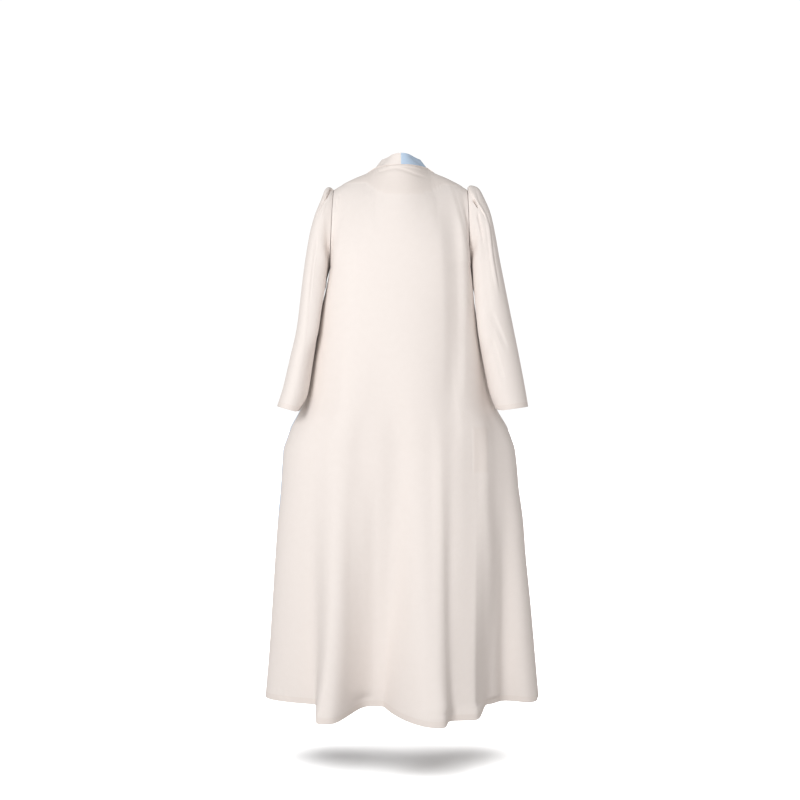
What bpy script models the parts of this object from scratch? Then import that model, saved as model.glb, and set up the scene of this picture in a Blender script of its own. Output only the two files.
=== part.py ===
"""Abaya cloak, worn and open at the front, as seven pieces of cloth with real wall thickness.

Metres, +Z up. The garment's front faces -Y and the wearer's left is +X. The origin is the centre of the
neck opening, level with the high points of the shoulders.

Angles go round the body: 0 is the left side, 90 the centre back, 180 the right side, -90 (270) the front.
"""

import bpy
import numpy as np
from collections import namedtuple

# Cloth and seams
PANEL_WALL = 0.0015
SLEEVE_WALL = 0.0015
BAND_WALL = 0.0024
SEAM_GAP = 0.0003
ARMHOLE_GAP = 0.0005
UNDERARM_GAP = 0.0010

# Levels
UNDERARM_Z = -0.25
HIP_Z = -0.70
HEM_Z = -1.32
HEM_DROP_PER_DEPTH = 0.15

# Neck and shoulders
NECK_HALF_WIDTH = 0.066
NECK_BACK_DEPTH = 0.060
NECK_CURVE_POWER = 2.2
NECK_POINT_Y = -0.005
NECK_ANGLE = 60.0
SHOULDER_TIP_Y = -0.010
SHOULDER_LINE_X = (0.066, 0.0775, 0.115, 0.1525, 0.1675)
SHOULDER_LINE_Z = (-0.001, -0.009, -0.0255, -0.0445, -0.0535)
SHOULDER_HANDLE = 0.043
UNDERARM_HANDLE = 0.10
BACK_NECK_SLOPE = 50.0
FRONT_NECK_SLOPE = 32.0
ARMHOLE_REACH = 60.0

# Front opening, as angles from the side seam at the underarm and at the hem
FRONT_EDGE_ANGLES = (72.0, 73.8)
BAND_EDGE_ANGLES = (85.3, 80.8)

# Left side seam, which the raised side of the cloth pulls towards the back
SEAM_PULL_ANGLE = 13.0
SEAM_PULL_LEVELS = (-0.54, -0.62, -0.84, -0.96)

# Neck band
BAND_WIDTH = 0.030
BAND_LEAN_BACK = 7.0
BAND_LEAN_SIDE = 38.0

# Numbers of facets
SHOULDER_COLUMNS = 14
NECK_COLUMNS = 6
BAND_COLUMNS = 2
UPPER_ROWS = 7
SLEEVE_RINGS = 15

Section = namedtuple("Section", "z left right back front side_y squareness")
SECTIONS = (
    Section(-0.2500, 0.1760, 0.1700, 0.128, -0.122, 0.000, 2.9),
    Section(-0.2960, 0.1850, 0.1765, 0.131, -0.127, -0.004, 2.85),
    Section(-0.3660, 0.2030, 0.1880, 0.134, -0.131, -0.024, 2.6),
    Section(-0.4600, 0.2185, 0.2030, 0.136, -0.134, -0.036, 2.6),
    Section(-0.5300, 0.2315, 0.2165, 0.137, -0.136, -0.044, 2.55),
    Section(-0.5880, 0.2470, 0.2345, 0.137, -0.138, -0.054, 2.45),
    Section(-0.6150, 0.2600, 0.2490, 0.137, -0.139, -0.058, 2.4),
    Section(-0.6450, 0.2767, 0.2670, 0.137, -0.140, -0.058, 2.4),
    Section(-0.6750, 0.2880, 0.2790, 0.137, -0.140, -0.055, 2.4),
    Section(-0.7000, 0.2965, 0.2870, 0.136, -0.140, -0.050, 2.4),
    Section(-0.7300, 0.2990, 0.2910, 0.136, -0.140, -0.045, 2.4),
    Section(-0.8045, 0.3030, 0.2970, 0.135, -0.139, -0.034, 2.4),
    Section(-0.8680, 0.3085, 0.3055, 0.134, -0.138, -0.026, 2.35),
    Section(-0.9765, 0.3155, 0.3135, 0.132, -0.137, -0.015, 2.3),
    Section(-1.0785, 0.3215, 0.3235, 0.129, -0.136, -0.008, 2.2),
    Section(-1.2188, 0.3305, 0.3355, 0.126, -0.134, -0.003, 2.1),
    Section(-1.3200, 0.3390, 0.3440, 0.124, -0.132, 0.000, 2.1),
)

# A flute stands out between its two feet, which are angles. Each value is given at the underarm, the hip and
# the hem. The rise curve is 1 for a soft foot, and less for a foot that is creased.
Flute = namedtuple("Flute", "name first last rise fall rise_curve depth")
SOFT_FOOT = (1.0, 1.0, 1.0)
CREASED_FOOT = (1.0, 1.0, 0.4)
FLUTES = (
    Flute("back_left", (46, 46, 52.8), (76, 74, 77), (14, 14, 3.8), (12, 12, 16),
          SOFT_FOOT, (0, 0.011, 0.126)),
    Flute("back_middle", (64, 87, 83), (138, 117, 110), (24, 14, 22), (17, 8, 2.4),
          CREASED_FOOT, (0.003, 0.014, 0.143)),
    Flute("back_right", (134, 110, 101), (172, 141, 127), (14, 8, 6), (16, 13, 7),
          SOFT_FOOT, (0.006, 0.012, 0.098)),
    Flute("side_right", (146, 144, 141), (172, 172, 171), (12, 12, 12), (14, 14, 16),
          SOFT_FOOT, (0, 0.002, 0.014)),
    Flute("left_outer", (-50, -50, -46), (-18, -18, -22), (14, 14, 7), (14, 14, 12),
          SOFT_FOOT, (0, 0.006, 0.060)),
    Flute("left_inner", (-71, -71, -70), (-52, -52, -52), (9, 9, 7), (9, 9, 8),
          SOFT_FOOT, (0, 0.008, 0.075)),
    Flute("right_inner", (231, 231, 232), (252, 252, 250), (9, 9, 8), (9, 9, 7),
          SOFT_FOOT, (0, 0.008, 0.070)),
    Flute("right_outer", (200, 200, 203), (229, 229, 226), (13, 13, 12), (13, 13, 7),
          SOFT_FOOT, (0, 0.006, 0.066)),
)
TROUGHS = (
    Flute("back_right_hollow", (128, 128, 127), (158, 158, 150), (14, 14, 10), (14, 14, 12),
          SOFT_FOOT, (0, 0.004, 0.026)),
)

# Rows of facets below the underarm: from one level to the next, and how many
RowBand = namedtuple("RowBand", "top bottom rows")
ROW_BANDS = (
    RowBand(-0.25, -0.53, 5),
    RowBand(-0.53, -0.74, 6),
    RowBand(-0.74, -1.32, 9),
)

# Stations of a sleeve, with the outer and the inner point of each ring; x counts away from the body
Station = namedtuple("Station", "outer_x outer_z inner_x inner_z centre_y half_depth")
LEFT_STATIONS = (
    Station(0.1675, -0.0535, 0.1760, -0.2500, 0.000, 0.0550),
    Station(0.1785, -0.0470, 0.1775, -0.2530, 0.001, 0.0555),
    Station(0.1895, -0.0535, 0.1790, -0.2575, 0.003, 0.0560),
    Station(0.1990, -0.0785, 0.1810, -0.2650, 0.007, 0.0570),
    Station(0.2145, -0.1190, 0.1835, -0.2760, 0.013, 0.0575),
    Station(0.2260, -0.1632, 0.1870, -0.2920, 0.020, 0.0575),
    Station(0.2365, -0.2280, 0.1925, -0.3250, 0.031, 0.0570),
    Station(0.2455, -0.3034, 0.2000, -0.3700, 0.042, 0.0560),
    Station(0.2570, -0.4025, 0.2095, -0.4400, 0.050, 0.0550),
    Station(0.2736, -0.4780, 0.2190, -0.5000, 0.054, 0.0545),
    Station(0.2900, -0.5490, 0.2285, -0.5600, 0.058, 0.0540),
    Station(0.3045, -0.5950, 0.2450, -0.6110, 0.060, 0.0535),
)
RIGHT_STATIONS = (
    Station(0.1655, -0.0535, 0.1700, -0.2500, 0.000, 0.0550),
    Station(0.1760, -0.0445, 0.1715, -0.2530, 0.001, 0.0555),
    Station(0.1938, -0.0508, 0.1725, -0.2580, 0.003, 0.0560),
    Station(0.2110, -0.0832, 0.1740, -0.2660, 0.007, 0.0570),
    Station(0.2240, -0.1190, 0.1765, -0.2780, 0.013, 0.0570),
    Station(0.2350, -0.1723, 0.1790, -0.2960, 0.020, 0.0560),
    Station(0.2440, -0.2285, 0.1828, -0.3270, 0.031, 0.0545),
    Station(0.2555, -0.2920, 0.1865, -0.3720, 0.042, 0.0530),
    Station(0.2740, -0.3880, 0.1938, -0.4400, 0.050, 0.0510),
    Station(0.2900, -0.4688, 0.2050, -0.5000, 0.054, 0.0495),
    Station(0.3050, -0.5500, 0.2175, -0.5600, 0.058, 0.0480),
    Station(0.3126, -0.5961, 0.2350, -0.6072, 0.060, 0.0470),
)

# Pleats at a sleeve's head: angle round the sleeve (0 top, 90 back), half width and depth, and its stations
Pleat = namedtuple("Pleat", "seam_angle end_angle half_width depth full_station end_station")
LEFT_PLEATS = (
    Pleat(8, 17, 8, -0.0045, 1.6, 5.0),
    Pleat(22, 31, 8, -0.0032, 1.6, 4.2),
    Pleat(-8, -4, 7, -0.0022, 1.4, 3.0),
)
RIGHT_PLEATS = (
    Pleat(30, 42, 11, 0.0050, 1.8, 6.0),
    Pleat(48, 60, 11, -0.0060, 1.8, 5.0),
    Pleat(6, 8, 9, -0.0020, 1.6, 4.0),
)
PLEAT_ZONE = (-14.0, 70.0)
PLEAT_STEP = 7.0
PLAIN_RING_FACETS = 14

Finish = namedtuple("Finish", "name colour roughness")
CREAM = Finish("cream_crepe", (0.871, 0.799, 0.752, 1.0), 0.82)
BLUE = Finish("pale_blue_crepe", (0.474, 0.604, 0.761, 1.0), 0.82)


# Small helpers

def soft_step(value):
    """0 below 0, 1 above 1, and smooth between."""
    x = np.clip(value, 0.0, 1.0)
    return x * x * (3.0 - 2.0 * x)


def smooth_table(at, places, values):
    """A smooth curve through a table's values, with places in rising order."""
    places = np.asarray(places, float)
    values = np.asarray(values, float)
    slopes = np.gradient(values, places)
    at = np.clip(at, places[0], places[-1])
    low = np.clip(np.searchsorted(places, at, side="right") - 1, 0, len(places) - 2)
    span = places[low + 1] - places[low]
    t = (at - places[low]) / span
    start = (1.0 + 2.0 * t) * (1.0 - t) ** 2 * values[low] + t * (1.0 - t) ** 2 * span * slopes[low]
    end = t * t * (3.0 - 2.0 * t) * values[low + 1] - t * t * (1.0 - t) * span * slopes[low + 1]
    return start + end


def unit(vectors):
    return vectors / np.linalg.norm(vectors, axis=-1, keepdims=True)


def point(x, y, z):
    return np.stack(np.broadcast_arrays(x, y, z), axis=-1)


# The body of the cloak below the underarms

def section_value(name, z):
    levels = [-section.z for section in SECTIONS]
    return smooth_table(-z, levels, [getattr(section, name) for section in SECTIONS])


def by_level(values, z):
    """A flute's value at a height, from its values at the underarm, the hip and the hem."""
    levels = (-UNDERARM_Z, -HIP_Z, -HEM_Z)
    return np.interp(-z, levels, values)


def flute_depth(flute, angle, z):
    """How far one flute stands out at an angle and a height."""
    rising = soft_step((angle - by_level(flute.first, z)) / by_level(flute.rise, z))
    rising = rising ** by_level(flute.rise_curve, z)
    falling = soft_step((by_level(flute.last, z) - angle) / by_level(flute.fall, z))
    at_underarm, at_hip, at_hem = flute.depth
    lower = np.clip((HIP_Z - z) / (HIP_Z - HEM_Z), 0.0, 1.0)
    upper = soft_step((UNDERARM_Z - z) / (UNDERARM_Z - HIP_Z))
    above = at_underarm + (at_hip - at_underarm) * upper
    return rising * falling * (above + (at_hem - at_hip) * lower ** 1.5)


def fold_depth(angle, z):
    """All the flutes together: the furthest one counts, less the troughs."""
    depth = np.zeros(np.broadcast(angle, z).shape)
    for flute in FLUTES:
        depth = np.maximum(depth, flute_depth(flute, angle, z))
    for trough in TROUGHS:
        depth = depth - flute_depth(trough, angle, z)
    return depth


def body_point(angle, z):
    """The outer face of the cloak at an angle round it and a height below the underarms."""
    turn = np.radians(angle)
    across = np.cos(turn)
    along = np.sin(turn)
    power = section_value("squareness", z)
    swell = (np.abs(across) ** power + np.abs(along) ** power) ** (-1.0 / power)
    half_width = np.where(across >= 0.0, section_value("left", z), section_value("right", z))
    side_y = section_value("side_y", z)
    reach = np.where(along >= 0.0, section_value("back", z) - side_y, side_y - section_value("front", z))
    out_x = np.sign(across) * np.abs(across) ** 5
    length = np.hypot(out_x, along)
    depth = fold_depth(angle, z)
    x = half_width * swell * across + depth * out_x / length
    y = side_y + reach * swell * along + depth * along / length
    return point(x, y, z)


def hem_level(angle):
    """The hem hangs lower where a flute stands out."""
    depth = fold_depth(angle, np.full_like(angle, HEM_Z))
    return HEM_Z - HEM_DROP_PER_DEPTH * np.clip(depth, 0.0, None)


def left_seam_angle(z):
    """How far the left side seam is pulled towards the back."""
    top, full_top, full_bottom, bottom = SEAM_PULL_LEVELS
    coming = soft_step((top - z) / (top - full_top))
    going = soft_step((z - bottom) / (full_bottom - bottom))
    return SEAM_PULL_ANGLE * coming * going


def lower_levels(angle):
    """The heights of the rows below the underarm, stretched to the hem, one row for each level."""
    levels = [UNDERARM_Z]
    for band in ROW_BANDS:
        step = (band.bottom - band.top) / band.rows
        levels += [band.top + step * (i + 1) for i in range(band.rows)]
    share = (np.array(levels) - UNDERARM_Z) / (HEM_Z - UNDERARM_Z)
    return UNDERARM_Z + share[:, None] * (hem_level(angle) - UNDERARM_Z)[None, :]


# Neck, shoulders and armholes

def shoulder_point(share, side):
    """The shoulder seam from its tip (0) to the neck (1); side is +1 on the left and -1 on the right."""
    tip_x = (LEFT_STATIONS if side > 0 else RIGHT_STATIONS)[0].outer_x
    x = tip_x + (NECK_HALF_WIDTH - tip_x) * share
    line_x = NECK_HALF_WIDTH + (SHOULDER_LINE_X[-1] - NECK_HALF_WIDTH) * (1.0 - share)
    z = smooth_table(line_x, SHOULDER_LINE_X, SHOULDER_LINE_Z)
    y = SHOULDER_TIP_Y + (NECK_POINT_Y - SHOULDER_TIP_Y) * share
    return point(side * x, y, z)


def shoulder_normal(share, side):
    """The way the cloth faces along a shoulder seam, the same for the back and the front."""
    along = shoulder_point(share + 0.01, side) - shoulder_point(share - 0.01, side)
    across = np.broadcast_to((0.0, -float(side), 0.0), along.shape)
    return unit(np.cross(along, across))


def neck_point(share, side):
    """The back neck seam from the shoulder seam (0) to the centre back (1)."""
    x = NECK_HALF_WIDTH * (1.0 - share)
    y = NECK_POINT_Y + NECK_BACK_DEPTH * (1.0 - (1.0 - share) ** NECK_CURVE_POWER)
    z = SHOULDER_LINE_Z[0] * (1.0 - share)
    return point(side * x, y, z)


def armhole_point(angle, side):
    """The armhole: 0 at the shoulder tip, 90 at the back, 180 under the arm, 270 at the front."""
    station = (LEFT_STATIONS if side > 0 else RIGHT_STATIONS)[0]
    turn = np.radians(angle)
    x = (station.outer_x + station.inner_x) / 2 + (station.outer_x - station.inner_x) / 2 * np.cos(turn)
    z = (station.outer_z + station.inner_z) / 2 + (station.outer_z - station.inner_z) / 2 * np.cos(turn)
    y = SHOULDER_TIP_Y * (1.0 + np.cos(turn)) / 2 + station.half_depth * np.sin(turn)
    return point(side * x, y, z)


def bent_sheet(top, bottom, above_bottom, facing, slope, share):
    """Cloth that leaves a seam sideways and comes down straight: facing is +1 at the back, -1 in front."""
    drop = np.radians(slope)
    first = top + SHOULDER_HANDLE * point(0.0 * drop, facing * np.cos(drop), -np.sin(drop))
    second = bottom + UNDERARM_HANDLE * above_bottom
    t = share[..., None]
    upper = top * (1 - t) ** 3 + first * 3 * t * (1 - t) ** 2
    return upper + second * 3 * t ** 2 * (1 - t) + bottom * t ** 3


def underarm_row(angle):
    """The row at the underarm, and the way the cloth below runs up into it."""
    level = np.full_like(angle, UNDERARM_Z)
    bottom = body_point(angle, level)
    rise = (bottom - body_point(angle, level - 0.01)) / 0.01
    return bottom, rise


def armhole_shift(share, side, facing):
    """How far a plain bent sheet is from the armhole along its edge."""
    edge_angle = np.full_like(share, 0.0 if side > 0 else 180.0)
    bottom, rise = underarm_row(edge_angle)
    top = shoulder_point(np.zeros_like(share), side)
    plain = bent_sheet(top, bottom, rise, facing, np.zeros_like(share), share)
    middle = (top[..., 2] + UNDERARM_Z) / 2
    half = (top[..., 2] - UNDERARM_Z) / 2
    turn = np.degrees(np.arccos(np.clip((plain[..., 2] - middle) / half, -1.0, 1.0)))
    return armhole_point(turn * facing, side) - plain


def upper_back(angle, share):
    """The back above the underarms: share 0 at the neck and shoulder seams, 1 at the underarm."""
    side = np.where(angle <= 90.0, 1.0, -1.0)
    from_side = np.where(angle <= 90.0, angle, 180.0 - angle)
    left = np.broadcast_to(angle <= 90.0, share.shape)[..., None]
    on_shoulder = np.clip(from_side / NECK_ANGLE, 0.0, 1.0)
    on_neck = np.clip((from_side - NECK_ANGLE) / (90.0 - NECK_ANGLE), 0.0, 1.0)
    shoulder = np.where(left, shoulder_point(on_shoulder, 1), shoulder_point(on_shoulder, -1))
    neck = np.where(left, neck_point(on_neck, 1), neck_point(on_neck, -1))
    top = np.where((from_side > NECK_ANGLE)[..., None], neck, shoulder)
    bottom, rise = underarm_row(angle)
    slope = BACK_NECK_SLOPE * soft_step((from_side - 0.6 * NECK_ANGLE) / (90.0 - 0.6 * NECK_ANGLE))
    sheet = bent_sheet(top, bottom, rise, 1.0, slope, share)
    near = np.clip(1.0 - from_side / ARMHOLE_REACH, 0.0, 1.0)[..., None] ** 2
    shift = np.where(left, armhole_shift(share, 1, 1.0), armhole_shift(share, -1, 1.0))
    return sheet + near * shift


def front_angle(across, z, side, edges):
    """The angle at a share of the way from the side seam to an edge of the front."""
    edge = np.interp(-z, (-UNDERARM_Z, -HEM_Z), edges)
    if side > 0:
        return left_seam_angle(z) * (1.0 - across) - edge * across
    return 180.0 + edge * across


def upper_front(across, share, side):
    """A front above the underarms: across is 0 at the armhole and 1 at the front edge."""
    level = np.full_like(across, UNDERARM_Z)
    top = shoulder_point(across, side)
    bottom, rise = underarm_row(front_angle(across, level, side, FRONT_EDGE_ANGLES))
    slope = FRONT_NECK_SLOPE * soft_step(across)
    sheet = bent_sheet(top, bottom, rise, -1.0, slope, share)
    near = (1.0 - across)[..., None] ** 2
    return sheet + near * armhole_shift(share, side, -1.0)


# Closed walls

def across_normals(surface, first, second, first_step, second_step, limits):
    """Unit normals of surface(first, second), from points a little to either side."""
    low, high = limits
    ahead = np.clip(second + second_step, low, high)
    behind = np.clip(second - second_step, low, high)
    along_first = surface(first + first_step, second) - surface(first - first_step, second)
    along_second = surface(first, ahead) - surface(first, behind)
    return unit(np.cross(along_first, along_second))


def facing_out(normals, outer, inside):
    """The normals, all turned round if they point at what is inside the cloth."""
    away = np.sum(normals * (outer - inside))
    return normals if away > 0.0 else -normals


def body_axis(outer):
    """Points inside the body, level with each outer point."""
    return outer * np.array((0.6, 0.0, 1.0)) - np.array((0.0, 0.0, 0.02))


def wall_mesh(name, outer, outward, thickness, ring=False):
    """A closed wall from a grid of outer points: rows down, columns round. A ring joins its last column to
    its first. Both faces are split along the same diagonals."""
    across = np.gradient(outer, axis=1)
    down = np.gradient(outer, axis=0)
    if np.sum(np.cross(down, across) * outward) < 0.0:
        outer = outer[::-1]
        outward = outward[::-1]
    rows, columns = outer.shape[:2]
    inner = outer - thickness * outward
    vertices = np.concatenate([outer.reshape(-1, 3), inner.reshape(-1, 3)])
    inside = rows * columns
    faces = []

    def spot(row, column):
        return row * columns + column % columns

    def quad(a, b, c, d):
        faces.append((a, b, c))
        faces.append((a, c, d))

    for row in range(rows - 1):
        for column in range(columns if ring else columns - 1):
            a = spot(row, column)
            b = spot(row + 1, column)
            c = spot(row + 1, column + 1)
            d = spot(row, column + 1)
            quad(a, b, c, d)
            faces.append((inside + a, inside + c, inside + b))
            faces.append((inside + a, inside + d, inside + c))
    for column in range(columns if ring else columns - 1):
        a, b = spot(0, column), spot(0, column + 1)
        quad(a, b, inside + b, inside + a)
        a, b = spot(rows - 1, column), spot(rows - 1, column + 1)
        quad(b, a, inside + a, inside + b)
    if not ring:
        for row in range(rows - 1):
            a, b = spot(row, 0), spot(row + 1, 0)
            quad(b, a, inside + a, inside + b)
            a, b = row * columns + columns - 1, (row + 1) * columns + columns - 1
            quad(a, b, inside + b, inside + a)
    mesh = bpy.data.meshes.new(name)
    mesh.from_pydata(vertices.tolist(), [], faces)
    mesh.shade_smooth()
    mesh.set_sharp_from_angle(angle=np.radians(50.0))
    return mesh


def make_material(finish):
    material = bpy.data.materials.new(finish.name)
    material.use_nodes = True
    shader = material.node_tree.nodes["Principled BSDF"]
    shader.inputs["Base Color"].default_value = finish.colour
    shader.inputs["Roughness"].default_value = finish.roughness
    shader.inputs["Metallic"].default_value = 0.0
    return material


def add_piece(name, mesh, finish):
    mesh.materials.append(make_material(finish._replace(name=name + "_" + finish.name)))
    piece = bpy.data.objects.new(name, mesh)
    bpy.context.scene.collection.objects.link(piece)
    return piece


# Panels

def even_angles(start, end, count):
    """Angles spaced evenly along the cloth, as the mean of its widths at the underarm and at the hem."""
    fine = np.linspace(start, end, 400)
    share = np.zeros_like(fine)
    for level in (UNDERARM_Z, HEM_Z):
        steps = np.linalg.norm(np.diff(body_point(fine, np.full_like(fine, level)), axis=0), axis=1)
        length = np.concatenate([[0.0], np.cumsum(steps)])
        share += length / length[-1] / 2
    return np.interp(np.linspace(0.0, 1.0, count + 1), share, fine)


def back_angles():
    """The back's columns, with one on each neck point and one on the centre back."""
    parts = (
        (0.0, NECK_ANGLE, SHOULDER_COLUMNS),
        (NECK_ANGLE, 90.0, NECK_COLUMNS),
        (90.0, 180.0 - NECK_ANGLE, NECK_COLUMNS),
        (180.0 - NECK_ANGLE, 180.0, SHOULDER_COLUMNS),
    )
    angles = [0.0]
    for start, end, count in parts:
        angles += list(even_angles(start, end, count)[1:])
    return np.array(angles)


def seam_inset(angle_columns, z, half_gap):
    """Angles a half seam gap inside the side seams, with the left seam where the cloth pulls it."""
    reach = section_value("back", z) - section_value("side_y", z)
    gap_angle = np.degrees(half_gap / reach)
    pull = left_seam_angle(z) * np.clip(1.0 - angle_columns / NECK_ANGLE, 0.0, 1.0)
    inward = np.where(angle_columns < 90.0, 1.0, -1.0)
    at_side = np.isclose(np.abs(angle_columns - 90.0), 90.0)
    return angle_columns + pull + np.where(at_side, gap_angle * inward, 0.0)


def join_rows(upper, upper_normals, lower, lower_normals):
    """One grid of points and outward normals from a panel's two stretches."""
    lower_normals = facing_out(lower_normals, lower, body_axis(lower))
    return np.concatenate([upper, lower]), np.concatenate([upper_normals, lower_normals])


def back_grid():
    """Outer points and normals of the back panel."""
    columns = back_angles()
    shares = np.linspace(0.0, 1.0, UPPER_ROWS + 1)[:-1]
    angle, share = np.meshgrid(columns, shares)
    upper = upper_back(angle, share)
    upper[0, :, 1] += SEAM_GAP / 2
    upper_normals = across_normals(upper_back, angle, share, 0.4, 0.004, (0.0, 1.0))
    upper_normals = facing_out(upper_normals, upper, body_axis(upper))
    on_seam = columns[:SHOULDER_COLUMNS + 1] / NECK_ANGLE
    upper_normals[0, :SHOULDER_COLUMNS + 1] = shoulder_normal(on_seam, 1)
    on_seam = (180.0 - columns[-SHOULDER_COLUMNS - 1:]) / NECK_ANGLE
    upper_normals[0, -SHOULDER_COLUMNS - 1:] = shoulder_normal(on_seam, -1)
    z = lower_levels(columns)
    lower_angle = seam_inset(np.broadcast_to(columns, z.shape), z, SEAM_GAP / 2)
    lower = body_point(lower_angle, z)
    lower_normals = across_normals(body_point, lower_angle, z, 0.4, 0.004, (-2.0, UNDERARM_Z))
    return join_rows(upper, upper_normals, lower, lower_normals)


def front_grid(side):
    """Outer points and normals of a front, from its side seam to the seam of its band."""
    across_columns = back_angles()[:SHOULDER_COLUMNS + 1] / NECK_ANGLE
    if side < 0:
        across_columns = (180.0 - back_angles()[-SHOULDER_COLUMNS - 1:])[::-1] / NECK_ANGLE
    shares = np.linspace(0.0, 1.0, UPPER_ROWS + 1)[:-1]
    across, share = np.meshgrid(across_columns, shares)

    def upper_surface(first, second):
        return upper_front(first, second, side)

    upper = upper_surface(across, share)
    upper[0, :, 1] -= SEAM_GAP / 2
    upper_normals = across_normals(upper_surface, across, share, 0.004, 0.004, (0.0, 1.0))
    upper_normals = facing_out(upper_normals, upper, body_axis(upper))
    upper_normals[0] = shoulder_normal(across_columns, side)
    hem_angles = front_angle(across_columns, np.full_like(across_columns, HEM_Z), side, FRONT_EDGE_ANGLES)
    z = lower_levels(hem_angles)
    gap_angle = np.degrees(SEAM_GAP / 2 / (section_value("side_y", z) - section_value("front", z)))
    angle = front_angle(np.broadcast_to(across_columns, z.shape), z, side, FRONT_EDGE_ANGLES)
    angle[:, 0] -= side * gap_angle[:, 0]
    lower = body_point(angle, z)
    lower_normals = across_normals(body_point, angle, z, 0.4, 0.004, (-2.0, UNDERARM_Z))
    return join_rows(upper, upper_normals, lower, lower_normals)


# Neck and front bands

def band_seam_path(side):
    """The seam of a band: from the centre back to the shoulder seam, then down the front edge."""
    neck_columns = back_angles()[SHOULDER_COLUMNS:SHOULDER_COLUMNS + NECK_COLUMNS + 1]
    on_neck = (neck_columns[::-1] - NECK_ANGLE) / (90.0 - NECK_ANGLE)
    neck = neck_point(on_neck, side)
    neck[0, 0] = side * SEAM_GAP / 2
    shares = np.linspace(0.0, 1.0, UPPER_ROWS + 1)[1:-1]
    neckline = upper_front(np.ones_like(shares), shares, side)
    return neck, neckline


def band_lower_rows(side):
    """The band below the underarm lies in the front's own surface."""
    hem_angle = front_angle(np.ones(1), np.full(1, HEM_Z), side, FRONT_EDGE_ANGLES)
    z = lower_levels(hem_angle)
    seam = front_angle(np.ones_like(z), z, side, FRONT_EDGE_ANGLES)
    edge = front_angle(np.ones_like(z), z, side, BAND_EDGE_ANGLES)
    half_width = section_value("left" if side > 0 else "right", z)
    seam = seam - side * np.degrees(SEAM_GAP / half_width)
    share = np.linspace(0.0, 1.0, BAND_COLUMNS + 1)[None, :]
    return body_point(seam + (edge - seam) * share, z + 0.0 * share)


def band_grid(side):
    """Outer points and normals of a band: rows along its seam, columns across its width."""
    neck, neckline = band_seam_path(side)
    lower = band_lower_rows(side)
    path = np.concatenate([neck, neckline])
    following = np.concatenate([path, lower[:1, 0]])
    tangent = unit(np.gradient(following, axis=0))[:-1]
    flat_inward = unit(lower[0, -1] - lower[0, 0])
    neck_rows = len(neck)
    rows = []
    for i, seam in enumerate(path):
        if i < neck_rows:
            round_neck = i / (neck_rows - 1)
            lean = BAND_LEAN_BACK + (BAND_LEAN_SIDE - BAND_LEAN_BACK) * soft_step(round_neck)
            turn = np.radians(90.0 * round_neck)
            inward = np.array((-side * np.sin(turn), -np.cos(turn), 0.0))
            up = np.array((0.0, 0.0, 1.0))
            width = BAND_WIDTH
        else:
            down_front = (i - neck_rows + 1) / (len(neckline) + 1)
            lean = BAND_LEAN_SIDE + (90.0 - BAND_LEAN_SIDE) * soft_step(down_front)
            inward = unit((1 - down_front) * np.array((-side, 0.0, 0.0)) + down_front * flat_inward)
            up = side * unit(np.cross(inward, tangent[i]))
            width = BAND_WIDTH + down_front * (np.linalg.norm(lower[0, -1] - lower[0, 0]) - BAND_WIDTH)
        way = np.cos(np.radians(lean)) * up + np.sin(np.radians(lean)) * inward
        steps = SEAM_GAP + (width - SEAM_GAP) * np.linspace(0.0, 1.0, BAND_COLUMNS + 1)
        rows.append(seam + steps[:, None] * way)
    outer = np.concatenate([np.array(rows), lower])
    along = np.gradient(outer, axis=0)
    across = np.gradient(outer, axis=1)
    normals = side * np.cross(across, along)
    normals[0, :, 0] = 0.0
    return outer, unit(normals)


# Sleeves

def ring_angles():
    """Angles round a sleeve, closer together where its head is pleated."""
    first, last = PLEAT_ZONE
    close = np.arange(first, last, PLEAT_STEP)
    plain = np.linspace(last, first + 360.0, PLAIN_RING_FACETS + 1)[:-1]
    return np.concatenate([close, plain])


def pleat_depth(pleats, angle, station):
    """How far the pleats move a sleeve's surface out at an angle and a station."""
    depth = np.zeros(np.broadcast(angle, station).shape)
    for pleat in pleats:
        share = np.clip(station / pleat.end_station, 0.0, 1.0)
        centre = pleat.seam_angle + (pleat.end_angle - pleat.seam_angle) * share
        away = np.abs((angle - centre + 180.0) % 360.0 - 180.0)
        form = soft_step(1.0 - away / pleat.half_width)
        coming = soft_step(station / pleat.full_station)
        going = soft_step((pleat.end_station - station) / (pleat.end_station - pleat.full_station))
        depth = depth + pleat.depth * form * coming * going
    return depth


def sleeve_point(angle, station, stations, pleats, side):
    """The outer face of a sleeve: angle round it, and station from 0 at the armhole to the cuff."""
    places = np.arange(len(stations))
    values = {}
    for name in Station._fields:
        values[name] = smooth_table(station, places, [getattr(row, name) for row in stations])
    turn = np.radians(angle)
    half_x = (values["outer_x"] - values["inner_x"]) / 2
    half_z = (values["outer_z"] - values["inner_z"]) / 2
    middle_x = (values["outer_x"] + values["inner_x"]) / 2
    middle_z = (values["outer_z"] + values["inner_z"]) / 2
    lean = SHOULDER_TIP_Y * (1.0 + np.cos(turn)) / 2 * np.clip(1.0 - station / 4.0, 0.0, 1.0)
    x = middle_x + half_x * np.cos(turn)
    y = values["centre_y"] + values["half_depth"] * np.sin(turn) + lean
    z = middle_z + half_z * np.cos(turn)
    half = np.hypot(half_x, half_z)
    out = unit(point(half_x / half * np.cos(turn) / half, np.sin(turn) / values["half_depth"],
                     half_z / half * np.cos(turn) / half))
    surface = point(x, y, z) + pleat_depth(pleats, angle, station)[..., None] * out
    return surface * np.array((side, 1.0, 1.0))


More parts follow.
